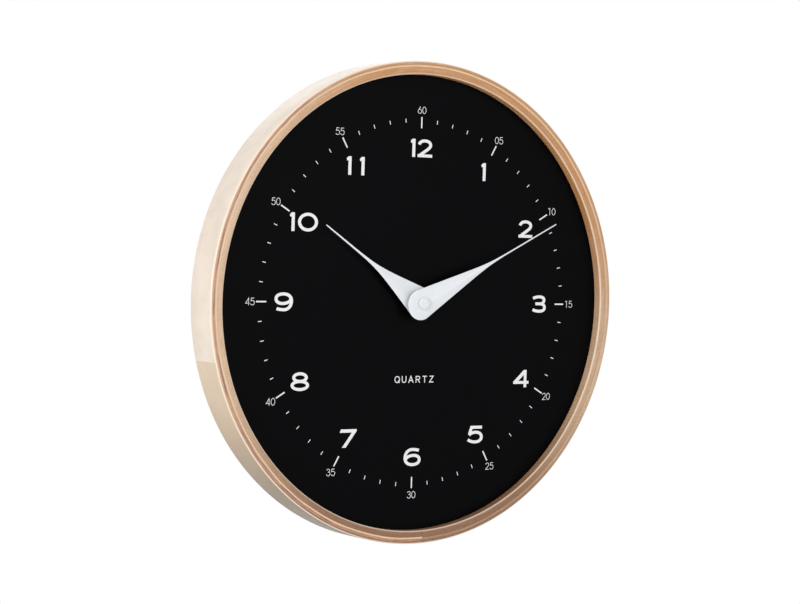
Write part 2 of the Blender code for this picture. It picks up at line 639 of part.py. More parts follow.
def make_motion_work():
    """The cannon pinion, the motion wheel, the hour wheel and the setting knob: 12 turns to 1."""
    cannon_phase = 0.0
    motion_phase = meshed_phase(cannon_phase, HAND_AXIS, CANNON_TEETH, MOTION_AXIS, MOTION_TEETH)
    setting_phase = meshed_phase(motion_phase, MOTION_AXIS, MOTION_TEETH, SETTING_AXIS, SETTING_TEETH)
    pinion_phase = 0.0
    hour_phase = meshed_phase(pinion_phase, MOTION_AXIS, MOTION_PINION_TEETH, HAND_AXIS, HOUR_TEETH)

    shoulder = -MINUTE_HAND_FRONT + HAND_THICK + GAP
    arbor_tip = -MINUTE_HAND_FRONT - GAP - CAP_HEIGHT + CAP_FRONT_WALL + GAP
    arbor = rod([(HAND_SEAT_R - GAP, arbor_tip, -MINUTE_HAND_FRONT - GAP),
                 (HAND_SEAT_R, -MINUTE_HAND_FRONT - GAP, shoulder),
                 (ARBOR_R, shoulder, MOTION_Y + GAP),
                 (ARBOR_REAR_R, MOTION_Y + GAP, PIVOT_REAR)], SMALL_ROUND)
    leaves = prism(gear_outline(CANNON_TEETH, CANNON_MODULE, cannon_phase),
                   MOTION_Y - GAP, MOTION_Y + WHEEL_THICK + GAP)
    place("minute_arbor", join(leaves, arbor), "brass")

    motion = wheel_with_pinion(
        gear_outline(MOTION_TEETH, CANNON_MODULE, motion_phase), MOTION_Y,
        gear_outline(MOTION_PINION_TEETH, HOUR_MODULE, pinion_phase), HOUR_WHEEL_Y - GAP,
        MOTION_Y + GAP, MOTION_PIVOT_R)
    place("motion_wheel", motion, "white_plastic", MOTION_AXIS)

    tube_front = -HOUR_HAND_FRONT - GAP
    tube = ring(HOUR_TUBE_BORE_R, HOUR_TUBE_R, tube_front, HOUR_WHEEL_Y + WHEEL_THICK / 2)
    hour = prism(gear_outline(HOUR_TEETH, HOUR_MODULE, hour_phase), HOUR_WHEEL_Y,
                 HOUR_WHEEL_Y + WHEEL_THICK, [circle(HOUR_TUBE_BORE_R)])
    place("hour_wheel", join(hour, tube), "white_plastic")

    knob_front = CASE_BACK + GAP
    shaft_end = knob_front + KNOB_GRIP
    shaft = rod([(KNOB_SHAFT_R, PIVOT_FRONT, CASE_BACK), (KNOB_SHAFT_END_R, CASE_BACK, shaft_end)])
    teeth = prism(gear_outline(SETTING_TEETH, CANNON_MODULE, setting_phase), MOTION_Y,
                  MOTION_Y + WHEEL_THICK)
    place("setting_pinion", join(teeth, shaft), "white_plastic", SETTING_AXIS)
    place("setting_knob", make_knob(knob_front, shaft_end + GAP), "black_plastic", SETTING_AXIS)


def make_knob(front, bore_end):
    """A fluted disc with a blind bore for the shaft's end."""
    outline = []
    for i in range(2 * KNOB_FLUTES):
        turn = math.pi * i / KNOB_FLUTES
        radius = KNOB_R - KNOB_FLUTE_DEPTH * (i % 2)
        outline.append((radius * math.cos(turn), radius * math.sin(turn)))
    bore = rod([(KNOB_SHAFT_END_R + GAP, front - GAP, bore_end)])
    return cut(prism(outline, front, front + KNOB_THICK), bore)


def make_going_train():
    """From the centre wheel to the rotor: 1800 turns of the rotor to one of the centre wheel."""
    centre_phase = 0.0
    third_pinion_phase = meshed_phase(centre_phase, HAND_AXIS, CENTRE_TEETH, THIRD_AXIS,
                                      THIRD_PINION_TEETH)
    third_phase = 0.0
    seconds_pinion_phase = meshed_phase(third_phase, THIRD_AXIS, THIRD_TEETH, SECONDS_AXIS,
                                        SECONDS_PINION_TEETH)
    seconds_phase = 0.0
    middle_pinion_phase = meshed_phase(seconds_phase, SECONDS_AXIS, SECONDS_TEETH, MIDDLE_AXIS,
                                       MIDDLE_PINION_TEETH)
    middle_phase = 0.0
    rotor_phase = meshed_phase(middle_phase, MIDDLE_AXIS, MIDDLE_TEETH, ROTOR_AXIS,
                               ROTOR_PINION_TEETH)

    bore = ARBOR_REAR_R + GAP
    centre = prism(gear_outline(CENTRE_TEETH, CENTRE_MODULE, centre_phase), CENTRE_Y,
                   CENTRE_Y + WHEEL_THICK, [circle(bore)])
    place("centre_wheel", centre, "brass")
    third = wheel_with_pinion(
        gear_outline(THIRD_TEETH, THIRD_MODULE, third_phase), THIRD_Y,
        gear_outline(THIRD_PINION_TEETH, CENTRE_MODULE, third_pinion_phase), CENTRE_Y - GAP,
        THIRD_Y + GAP, PIVOT_R)
    place("third_wheel", third, "white_plastic", THIRD_AXIS)
    seconds = wheel_with_pinion(
        gear_outline(SECONDS_TEETH, SECONDS_MODULE, seconds_phase), SECONDS_Y,
        gear_outline(SECONDS_PINION_TEETH, THIRD_MODULE, seconds_pinion_phase), THIRD_Y - GAP,
        SECONDS_Y + GAP, PIVOT_R)
    place("seconds_wheel", seconds, "white_plastic", SECONDS_AXIS)
    middle = wheel_with_pinion(
        gear_outline(MIDDLE_TEETH, MIDDLE_MODULE, middle_phase), MIDDLE_Y,
        gear_outline(MIDDLE_PINION_TEETH, SECONDS_MODULE, middle_pinion_phase), SECONDS_Y - GAP,
        MIDDLE_Y + GAP, PIVOT_R)
    place("intermediate_wheel", middle, "white_plastic", MIDDLE_AXIS)
    leaves = prism(gear_outline(ROTOR_PINION_TEETH, MIDDLE_MODULE, rotor_phase), MIDDLE_Y - GAP / 2,
                   MIDDLE_Y + WHEEL_THICK + GAP / 2)
    arbor = rod([(ROTOR_R, PIVOT_FRONT, PIVOT_REAR)])
    place("rotor_pinion", join(leaves, arbor), "white_plastic", ROTOR_AXIS)
    magnet = ring(ROTOR_R + GAP, MAGNET_R, MAGNET_Y, MAGNET_Y + MAGNET_LONG)
    place("rotor_magnet", magnet, "magnet", ROTOR_AXIS)


def make_motor():
    """The stator plate round the rotor, and the coil on its core along the movement's top."""
    coil_middle = ROTOR_AXIS[0] - COIL_ASIDE
    coil_end = COIL_LONG / 2 + BOBBIN_FLANGE_THICK + GAP
    ear_in = (coil_middle - coil_end - 2 * GAP, coil_middle + coil_end + 2 * GAP)
    ear_out = (ear_in[0] - EAR_WIDE, ear_in[1] + EAR_WIDE)
    hole_r = MAGNET_R + STATOR_AIR
    top = CORE_Z + CORE_WIDE / 2 + GAP
    deck = CORE_Z - BOBBIN_FLANGE / 2 - 2 * GAP
    low = ROTOR_AXIS[1] - hole_r - STATOR_RIB
    cheek = hole_r + STATOR_RIB
    shelf = ROTOR_AXIS[1] + STATOR_SHELF
    outline = [
        (ear_out[0], top), (ear_in[0], top), (ear_in[0], deck), (ear_in[1], deck), (ear_in[1], top),
        (ear_out[1], top), (ear_out[1], shelf), (ROTOR_AXIS[0] + cheek, shelf),
        (ROTOR_AXIS[0] + cheek - STATOR_RIB, low), (ROTOR_AXIS[0] - cheek + STATOR_RIB, low),
        (ROTOR_AXIS[0] - cheek, shelf + STATOR_RIB), (ear_out[0], shelf + STATOR_RIB),
    ]
    stator = prism(list(reversed(outline)), STATOR_Y, STATOR_Y + STATOR_THICK,
                   [circle(hole_r, SMALL_ROUND, ROTOR_AXIS)])
    place("stator", stator, "zinc_steel")
    core = box(ear_out[0], ear_out[1], CORE_Y, CORE_Y + CORE_THICK, CORE_Z - CORE_WIDE / 2,
               CORE_Z + CORE_WIDE / 2)
    place("coil_core", core, "zinc_steel")

    middle_y = CORE_Y + CORE_THICK / 2
    x0 = coil_middle - COIL_LONG / 2
    x1 = coil_middle + COIL_LONG / 2

    def sleeve(a, b, half_y, half_z):
        return box(a, b, middle_y - half_y, middle_y + half_y, CORE_Z - half_z, CORE_Z + half_z)

    bore = (CORE_THICK / 2 + GAP, CORE_WIDE / 2 + GAP)
    barrel = (bore[0] + BOBBIN_WALL, bore[1] + BOBBIN_WALL)
    flange = BOBBIN_FLANGE / 2
    left = sleeve(x0 - BOBBIN_FLANGE_THICK, x0, flange, flange)
    right = sleeve(x1, x1 + BOBBIN_FLANGE_THICK, flange, flange)
    solid = join(sleeve(x0 - GAP, x1 + GAP, *barrel), left, right)
    place("coil_bobbin", cut(solid, sleeve(ear_in[0], ear_in[1], *bore)), "white_plastic")
    inner = (barrel[0] + GAP, barrel[1] + GAP)
    winding = sleeve(x0 + GAP, x1 - GAP, WINDING_WIDE / 2, WINDING_WIDE / 2)
    place("coil_winding", cut(winding, sleeve(x0 - GAP, x1 + GAP, *inner)), "copper")


def make_circuit():
    """The board stands on a post at the movement's left, with its crystal and chip facing the wall."""
    x0 = -ROOM_HALF + GAP
    z0 = ROOM_LOW + GAP
    y0 = THIRD_Y
    y1 = y0 + BOARD_THICK
    post = circle(POST_R + GAP, TINY_ROUND, (-POST, POST_LOW))
    board = prism(rectangle(x0, x0 + BOARD_WIDE, z0, z0 + BOARD_HIGH), y0, y1, [post])
    place("circuit_board", board, "circuit_green")
    back = y1 + GAP
    crystal = rod([(CRYSTAL_R, 0, CRYSTAL_LONG)])
    place("quartz_crystal", crystal, "zinc_steel", (x0 + CRYSTAL_X, z0 + CRYSTAL_Z),
          (math.pi / 2, 0, 0), back + CRYSTAL_R)
    chip = turned([(0, back), (CHIP_R, back), (CHIP_SHOULDER_R, back + CHIP_SHOULDER),
                   (0, back + CHIP_HIGH)], TINY_ROUND)
    place("chip_blob", chip, "rubber", (x0 + CHIP_X, z0 + CHIP_Z))


def make_battery():
    """The cell lies along X in its bay, its nub to the right, between two sprung strips."""
    half = CELL_BODY / 2
    cell = turned([(0, -half), (CELL_R - CELL_EDGE, -half), (CELL_R, CELL_EDGE - half),
                   (CELL_R, half - CELL_EDGE), (CELL_R - CELL_EDGE, half), (CELL_NUB_R, half),
                   (CELL_NUB_R, half + CELL_NUB), (0, half + CELL_NUB)])
    place("aa_cell", cell, "cell_jacket", (0, CELL_Z), (0, 0, -math.pi / 2), CELL_Y)
    wide = CONTACT_WIDE / 2
    z0 = CELL_Z - wide
    z1 = CELL_Z + wide
    y0 = BAY_FLOOR_Y + GAP
    y1 = CELL_Y + CONTACT_HIGH / 2
    wall = ROOM_HALF - GAP
    tip = half + CELL_NUB + CELL_PLAY
    plus = box(tip, wall, y0, y1, z0, z1)
    place("positive_contact", plus, "zinc_steel")
    minus = box(-wall, CONTACT_THICK - wall, y0, y1, z0, z1)
    nose = half + GAP
    bump = prism([(-wall, 0), (-nose, BUMP_WIDE / 2), (-nose, -BUMP_WIDE / 2)], -wide, wide)
    bmesh.ops.rotate(bump, cent=(0, 0, 0), matrix=Matrix.Rotation(math.pi / 2, 3, "X"), verts=bump.verts)
    moved(bump, 0, CELL_Y, CELL_Z)
    place("negative_contact", join(minus, bump), "zinc_steel")


def main():
    clear_scene()
    make_frame()
    make_rim()
    make_dial()
    make_dial_clips()
    make_hands()
    make_clamping()
    make_movement_case()
    make_movement_cover()
    make_train_plate()
    make_motion_work()
    make_going_train()
    make_motor()
    make_circuit()
    make_battery()


main()
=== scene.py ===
"""The looks of a round battery wall clock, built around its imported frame.

Each group of pieces has its own operator, and the sizes and colours that a user would change are
properties in the Clock panel. Pieces are drawn in the dial's own frame, in metres: X to the right, Z up,
Y towards the wall, Y = 0 on the dial's face and the hand axis at X = Z = 0. finish_piece() then moves
each mesh to the frame's place, so that every finished object stays at the origin.
"""

import json
import math

import bmesh
import bpy
from mathutils import Matrix, Vector


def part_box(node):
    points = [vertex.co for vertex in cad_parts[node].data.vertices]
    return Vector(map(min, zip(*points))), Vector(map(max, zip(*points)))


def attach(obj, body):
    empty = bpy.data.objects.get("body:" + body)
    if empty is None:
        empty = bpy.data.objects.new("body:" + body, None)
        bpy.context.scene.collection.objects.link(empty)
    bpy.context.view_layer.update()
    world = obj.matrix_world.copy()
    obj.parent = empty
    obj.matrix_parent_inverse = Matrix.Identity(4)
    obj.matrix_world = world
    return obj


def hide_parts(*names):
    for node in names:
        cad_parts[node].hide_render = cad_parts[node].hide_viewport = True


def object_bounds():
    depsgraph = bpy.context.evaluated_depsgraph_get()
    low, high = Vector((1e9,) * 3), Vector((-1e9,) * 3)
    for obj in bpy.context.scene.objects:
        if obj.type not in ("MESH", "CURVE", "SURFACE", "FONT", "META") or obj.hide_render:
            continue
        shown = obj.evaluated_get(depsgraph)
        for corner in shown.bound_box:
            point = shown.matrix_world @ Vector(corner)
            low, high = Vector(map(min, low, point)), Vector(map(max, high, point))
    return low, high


bl_info = {
    "name": "Plywood wall clock",
    "version": (1, 0, 0),
    "blender": (4, 5, 0),
    "location": "View3D > Sidebar > Clock",
    "description": "Builds a round wall clock with a bent plywood hoop and a battery movement",
    "category": "Object",
}

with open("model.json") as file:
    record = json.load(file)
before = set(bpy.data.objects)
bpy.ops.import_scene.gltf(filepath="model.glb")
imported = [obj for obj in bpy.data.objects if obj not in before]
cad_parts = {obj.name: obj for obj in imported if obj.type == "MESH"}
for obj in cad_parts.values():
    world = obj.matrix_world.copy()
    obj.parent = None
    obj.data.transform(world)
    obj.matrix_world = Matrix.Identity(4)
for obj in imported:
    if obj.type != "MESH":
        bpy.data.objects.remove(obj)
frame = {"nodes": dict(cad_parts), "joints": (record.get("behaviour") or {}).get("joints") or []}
CAD_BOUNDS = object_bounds()

MM = 0.001
UM = 0.000001
GAP = 0.3 * MM

HINGES = {joint["name"]: joint for joint in frame["joints"]}


def centre_of(node):
    low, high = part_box(node)
    return (low + high) / 2


# The dial's frame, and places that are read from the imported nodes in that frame
HAND_X, _, HAND_Z = HINGES["minute_turn"]["pos_m"]
ORIGIN = Vector((HAND_X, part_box("dial_panel")[0].y, HAND_Z))


def local_box(node):
    """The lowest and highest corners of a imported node, in the dial's frame."""
    low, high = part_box(node)
    return low - ORIGIN, high - ORIGIN


RIM_LOW, RIM_HIGH = local_box("bentwood_rim")
_, DIAL_HIGH = local_box("dial_panel")
COVER_LOW, COVER_HIGH = local_box("movement_cover")
CELL_LOW, CELL_HIGH = local_box("aa_cell")
KNOB_LOW, KNOB_HIGH = local_box("setting_knob")
HANGER_LOW, HANGER_HIGH = local_box("hanger_plate")
CAP_LOW, CAP_HIGH = local_box("hub_cap")
HOUR_HAND_Y = local_box("hour_hand")[0].y
MINUTE_HAND_Y = local_box("minute_hand")[0].y
RIM_R = RIM_HIGH.x
DIAL_R = DIAL_HIGH.x
BUSH_HOLE_R = 4.1 * MM      # in the dial, the clamping pieces and the hanger
STRIP_THICK = 0.8 * MM      # the steel of the hanger and the clips
REBATE_R = DIAL_R + GAP
CLIP_ANGLES = (45, 135, 225, 315)

# Angles of the hoop's joints, in degrees clockwise from 12
VENEER_JOINT = 256
INNER_JOINT = 178
DARK_PLY_END = 325
PATCH_JOINT = 43


# ---------------------------------------------------------------------------------------------
# Properties


def length(name, description, default):
    """A length property, with its default in millimetres."""
    return bpy.props.FloatProperty(name=name, description=description, default=default * MM,
                                   unit="LENGTH", precision=5)


def tint(name, description, default):
    """A colour property."""
    return bpy.props.FloatVectorProperty(name=name, description=description, default=default,
                                         subtype="COLOR", min=0, max=1)


def strength(name, description, default):
    """A property for how strong a light is."""
    return bpy.props.FloatProperty(name=name, description=description, default=default, min=0)


class HoopSettings(bpy.types.PropertyGroup):
    """Sizes and colours of the plywood hoop."""

    wall: length("Wall", "Thickness of the hoop in front of the dial", 11)
    veneer: length("Veneer", "Thickness of the pale outer veneer", 1.45)
    second_ply: length("Second ply", "Thickness of the ply under the veneer", 1.9)
    light_ply: length("Light ply", "Thickness of the thin light ply", 1.3)
    front_round: length("Front rounding", "Radius of the two front edges", 1.4)
    veneer_colour: tint("Veneer colour", "Colour of the pale sheet of birch veneer", (0.770, 0.665, 0.560))
    tan_veneer_colour: tint("Tan veneer colour", "Colour of the sheet of veneer at the lower left",
                            (0.610, 0.450, 0.290))
    ply_colour: tint("Ply colour", "Colour of the inner plies' edges at the left", (0.660, 0.460, 0.305))
    orange_ply_colour: tint("Orange ply colour", "Colour of the inner plies' edges at the top",
                            (0.540, 0.250, 0.085))
    # The right colour is the pinkish sheet's tone, partly darkened as painted shade.
    right_ply_tone_and_shade_colour: tint("Right ply colour", "Colour of the inner plies' edges at the right",
                           (0.600, 0.400, 0.250))
    # The low colour darkens the plies' edges at the bottom as painted shade.
    low_ply_shade_colour: tint("Low ply colour", "Colour of the inner plies' edges at the bottom",
                         (0.225, 0.103, 0.047))
    light_ply_colour: tint("Light ply colour", "Colour of the thin light ply", (0.740, 0.540, 0.360))
    dark_ply_colour: tint("Dark ply colour", "Colour of the reddish heartwood ply", (0.270, 0.130, 0.080))
    # The sanded colour is partly sanded wood and partly a painted highlight on the rounded edges.
    sanded_highlight_colour: tint("Sanded colour", "Colour of the sanded front edges", (0.880, 0.750, 0.620))


class DialSettings(bpy.types.PropertyGroup):
    """Sizes and colours of the dial and of what is printed on it."""

    hour_radius: length("Hour radius", "From the hand axis to the middle of each hour numeral", 128.5)
    minute_radius: length("Minute radius", "From the hand axis to the middle of each minute numeral", 160)
    ink_thick: length("Ink", "Thickness of the printed ink", 0.06)
    black: tint("Dial colour", "Colour of the dial's painted face", (0.0006, 0.0007, 0.0012))
    ink: tint("Ink colour", "Colour of the printed marks", (0.800, 0.800, 0.810))
    board: tint("Board colour", "Colour of the bare fibreboard behind", (0.260, 0.155, 0.080))


class HandSettings(bpy.types.PropertyGroup):
    """Sizes and colour of the hands."""

    thick: length("Thickness", "Thickness of each hand's sheet", 0.5)
    edge: length("Edge", "Rounding of the sheet's stamped edges", 0.12)
    minute_angle: bpy.props.FloatProperty(
        name="Minute angle", description="Where the minute hand points, clockwise from 12",
        default=math.radians(63.15), subtype="ANGLE")
    hour_angle: bpy.props.FloatProperty(
        name="Hour angle", description="Where the hour hand points, clockwise from 12",
        default=math.radians(303.6), subtype="ANGLE")
    white: tint("Colour", "Colour of the hands' paint", (0.745, 0.765, 0.795))


class MovementSettings(bpy.types.PropertyGroup):
    """Sizes and colours of the movement and its fittings."""

    cover_edge: length("Cover edge", "Rounding of the cover's edges", 0.35)
    bend: length("Bend radius", "Inside radius of the folds in the steel strips", 0.8)
    flutes: bpy.props.IntProperty(
        name="Flutes", description="Flutes round the setting knob", default=32, min=8)
    plastic: tint("Plastic", "Colour of the movement's mouldings", (0.022, 0.022, 0.024))
    jacket: tint("Cell jacket", "Main colour of the cell's printed film", (0.030, 0.075, 0.130))


class StageSettings(bpy.types.PropertyGroup):
    """Camera, lights and floor."""

    lens: bpy.props.FloatProperty(
        name="Lens", description="Focal length on a sensor 36 mm wide, in millimetres",
        default=102.05, min=10)
    ambient: strength("Ambient", "Strength of the even light from all round", 0.72)
    key: strength("Key", "Power of the large light at the left, in watts", 36)
    fill: strength("Fill", "Power of the light in front, in watts", 9)
    back: strength("Back", "Power of the light behind, in watts", 8)
    floor_drop: bpy.props.FloatProperty(
        name="Floor drop", description="From the clock's lowest point down to the floor",
        default=0.25, unit="LENGTH")


# ---------------------------------------------------------------------------------------------
# Meshes


def turn_about_axis(bm, angle):
    """Turn a piece clockwise, as seen from the front, about the hand axis."""
    bmesh.ops.rotate(bm, cent=(0, 0, 0), matrix=Matrix.Rotation(angle, 3, "Y"), verts=bm.verts)
    return bm


def shift(bm, x=0.0, y=0.0, z=0.0):
    bmesh.ops.translate(bm, vec=(x, y, z), verts=bm.verts)
    return bm


def arc(centre, radius, start, end, steps):
    """Points on an arc from the angle start to end, in degrees, in the plane of a profile."""
    points = []
    for i in range(steps + 1):
        turn = math.radians(start + (end - start) * i / steps)
        points.append((centre[0] + radius * math.cos(turn), centre[1] + radius * math.sin(turn)))
    return points


def spun(profile, segments=96, closed=False):
    """A piece turned about Y from a profile of (radius, y) points."""
    bm = bmesh.new()
    verts = [bm.verts.new((radius, y, 0)) for radius, y in profile]
    ends = verts[1:] + verts[:1] if closed else verts[1:]
    edges = [bm.edges.new(pair) for pair in zip(verts, ends)]
    bmesh.ops.spin(bm, geom=verts + edges, cent=(0, 0, 0), axis=(0, 1, 0), angle=2 * math.pi,
                   steps=segments, use_merge=True)
    bmesh.ops.remove_doubles(bm, verts=bm.verts, dist=2 * UM)
    bmesh.ops.recalc_face_normals(bm, faces=bm.faces)
    return bm


def plate(outer, y0, y1, holes=()):
    """A flat plate from y0 to y1 with an outline in X and Z, and holes through it."""
    bm = bmesh.new()
    edges = []
    for outline in (outer, *holes):
        verts = [bm.verts.new((x, y0, z)) for x, z in outline]
        edges += [bm.edges.new(pair) for pair in zip(verts, verts[1:] + verts[:1])]
    bmesh.ops.triangle_fill(bm, use_beauty=True, edges=edges)
    raised = bmesh.ops.extrude_face_region(bm, geom=bm.faces[:])
    far = [item for item in raised["geom"] if isinstance(item, bmesh.types.BMVert)]
    bmesh.ops.translate(bm, vec=(0, y1 - y0, 0), verts=far)
    bmesh.ops.dissolve_limit(bm, angle_limit=math.radians(0.5), verts=bm.verts, edges=bm.edges)
    bmesh.ops.recalc_face_normals(bm, faces=bm.faces)
    return bm


def block(x0, x1, y0, y1, z0, z1):
    return plate([(x0, z0), (x1, z0), (x1, z1), (x0, z1)], y0, y1)


def circle(radius, segments=48, x=0.0, z=0.0):
    return arc((x, z), radius, 0, 360 * (1 - 1 / segments), segments - 1)


def rounded_rectangle(x0, x1, z0, z1, corner, steps=6):
    points = arc((x1 - corner, z1 - corner), corner, 0, 90, steps)
    points += arc((x0 + corner, z1 - corner), corner, 90, 180, steps)
    points += arc((x0 + corner, z0 + corner), corner, 180, 270, steps)
    return points + arc((x1 - corner, z0 + corner), corner, 270, 360, steps)


def soften(bm, width, segments=2, sharp=30):
    """Round every edge whose faces meet at more than the angle sharp, in degrees."""
    limit = math.radians(sharp)
    edges = [e for e in bm.edges if len(e.link_faces) == 2 and e.calc_face_angle(0) > limit]
    bmesh.ops.bevel(bm, geom=edges, offset=width, offset_type="OFFSET", affect="EDGES",
                    segments=segments, profile=0.5, material=-1, clamp_overlap=True)
    return bm


def scratch_object(bm, name):
    mesh = bpy.data.meshes.new(name)
    bm.to_mesh(mesh)
    bm.free()
    obj = bpy.data.objects.new(name, mesh)
    bpy.context.scene.collection.objects.link(obj)
    return obj


def combine(base, tools, operation, merge=UM):
    """The base bmesh with each tool joined (UNION), cut away (DIFFERENCE) or kept in (INTERSECT).

    The faces are made triangles before near points are merged, so that no face loses its plane.
    """
    body = scratch_object(base, "working_body")
    for tool in tools:
        helper = scratch_object(tool, "working_tool")
        modifier = body.modifiers.new("cut", "BOOLEAN")
        modifier.solver = "EXACT"
        modifier.operation = operation
        modifier.object = helper
        bpy.context.view_layer.update()
        graph = bpy.context.evaluated_depsgraph_get()
        result = bpy.data.meshes.new_from_object(body.evaluated_get(graph))
        body.modifiers.clear()
        body.data = result
        bpy.data.objects.remove(helper)
    bm = bmesh.new()
    bm.from_mesh(body.data)
    bpy.data.objects.remove(body)
    bmesh.ops.dissolve_limit(bm, angle_limit=math.radians(0.5), verts=bm.verts, edges=bm.edges)
    bmesh.ops.triangulate(bm, faces=bm.faces)
    bmesh.ops.remove_doubles(bm, verts=bm.verts, dist=merge)
    bmesh.ops.dissolve_degenerate(bm, edges=bm.edges, dist=merge)
    bmesh.ops.recalc_face_normals(bm, faces=bm.faces)
    return bm


def cut(base, *tools):
    return combine(base, tools, "DIFFERENCE")


def join(base, *tools, merge=UM):
    return combine(base, tools, "UNION", merge)


def finish_piece(name, bm, material, body, nodes=(), smooth_angle=24):
    """Move a drawn piece to the frame's place, give it its material and let it ride on its body."""
    bmesh.ops.translate(bm, vec=ORIGIN, verts=bm.verts)
    mesh = bpy.data.meshes.new(name)
    bm.to_mesh(mesh)
    bm.free()
    mesh.materials.append(material)
    mesh.shade_smooth()
    mesh.set_sharp_from_angle(angle=math.radians(smooth_angle))
    obj = bpy.data.objects.new(name, mesh)
    bpy.context.scene.collection.objects.link(obj)
    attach(obj, body)
    if nodes:
        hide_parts(*nodes)


def repaint(node, material):
    """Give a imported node's object a finished material."""
    obj = frame["nodes"][node]
    obj.data.materials.clear()
    obj.data.materials.append(material)


# ---------------------------------------------------------------------------------------------
# Materials


class Finish:
    """A material while it is being made: short calls that add its nodes and link them."""

    def __init__(self, name, roughness=0.5, metallic=0.0):
        self.material = bpy.data.materials.new(name)
        self.material.use_nodes = True
        self.tree = self.material.node_tree
        self.shader = self.tree.nodes["Principled BSDF"]
        self.shader.inputs["Roughness"].default_value = roughness
        self.shader.inputs["Metallic"].default_value = metallic

    def node(self, kind, **settings):
        made = self.tree.nodes.new("ShaderNode" + kind)
        for key, value in settings.items():
            setattr(made, key, value)
        return made

    def feed(self, socket, value):
        if isinstance(value, bpy.types.NodeSocket):
            self.tree.links.new(value, socket)
        else:
            socket.default_value = value

    def math(self, operation, *values):
        made = self.node("Math", operation=operation)
        for socket, value in zip(made.inputs, values):
            self.feed(socket, value)
        return made.outputs[0]

    def plus(self, first, second):
        return self.math("ADD", first, second)

    def minus(self, first, second):
        return self.math("SUBTRACT", first, second)

    def times(self, first, second):
        return self.math("MULTIPLY", first, second)

    def vector_math(self, operation, *values):
        made = self.node("VectorMath", operation=operation)
        for socket, value in zip(made.inputs, values):
            self.feed(socket, value)
        return made.outputs[0]

    def combine(self, x, y, z):
        made = self.node("CombineXYZ")
        for socket, value in zip(made.inputs, (x, y, z)):
            self.feed(socket, value)
        return made.outputs[0]

    def scaled(self, *axes):
        """A vector whose axes are each a (value, factor) pair or a plain number."""
        return self.combine(*(self.times(*axis) if isinstance(axis, tuple) else axis for axis in axes))

    def split(self, vector):
        made = self.node("SeparateXYZ")
        self.feed(made.inputs[0], vector)
        return made.outputs[0], made.outputs[1], made.outputs[2]

    def place(self, centre=ORIGIN):
        """Object coordinates counted from a point of the frame, in metres."""
        coordinates = self.node("TexCoord").outputs["Object"]
        return self.vector_math("SUBTRACT", coordinates, tuple(centre))

    def polar(self, seam=180, centre=ORIGIN):
        """(angle clockwise from 12, radius, y) about an axis along Y; the angle's seam is in degrees."""
        turned = self.node("VectorRotate", rotation_type="Y_AXIS")
        self.feed(turned.inputs["Vector"], self.place(centre))
        turned.inputs["Angle"].default_value = math.radians(180 - seam)
        x, y, z = self.split(turned.outputs[0])
        radius = self.math("SQRT", self.plus(self.times(x, x),
                                             self.times(z, z)))
        return self.math("ARCTAN2", x, z), radius, y

    def noise(self, vector, scale=1.0, detail=3.0, roughness=0.5, distortion=0.0):
        made = self.node("TexNoise")
        self.feed(made.inputs["Vector"], vector)
        made.inputs["Scale"].default_value = scale
        made.inputs["Detail"].default_value = detail
        made.inputs["Roughness"].default_value = roughness
        made.inputs["Distortion"].default_value = distortion
        return made.outputs["Fac"]

    def stretch(self, value, low, high, new_low=0.0, new_high=1.0):
        """Map a value from low..high to new_low..new_high, smoothly at both ends."""
        made = self.node("MapRange", interpolation_type="SMOOTHSTEP")
        for socket, entry in zip(made.inputs, (value, low, high, new_low, new_high)):
            self.feed(socket, entry)
        return made.outputs[0]

    def mix(self, share, first, second):
        made = self.node("Mix", data_type="RGBA")
        self.feed(made.inputs[0], share)
        for socket, colour in zip((made.inputs[6], made.inputs[7]), (first, second)):
            if isinstance(colour, bpy.types.NodeSocket):
                self.feed(socket, colour)
            else:
                socket.default_value = (*colour, 1)
        return made.outputs[2]

    def colour(self, value):
        self.feed(self.shader.inputs["Base Color"],
                  value if isinstance(value, bpy.types.NodeSocket) else (*value, 1))

    def rough(self, value):
        self.feed(self.shader.inputs["Roughness"], value)

    def relief(self, height, depth, strength=1.0):
        """Bump from a height of 0 to 1 that stands for a real depth in metres."""
        made = self.node("Bump")
        made.inputs["Strength"].default_value = strength
        made.inputs["Distance"].default_value = depth
        self.feed(made.inputs["Height"], height)
        self.feed(self.shader.inputs["Normal"], made.outputs[0])

    def fixed(self, **values):
        """Set shader values that are the same all over, by socket name with _ for a space."""
        for name, value in values.items():
            self.shader.inputs[name.replace("_", " ")].default_value = value


def shade(colour, factor):
    return tuple(min(1.0, channel * factor) for channel in colour)


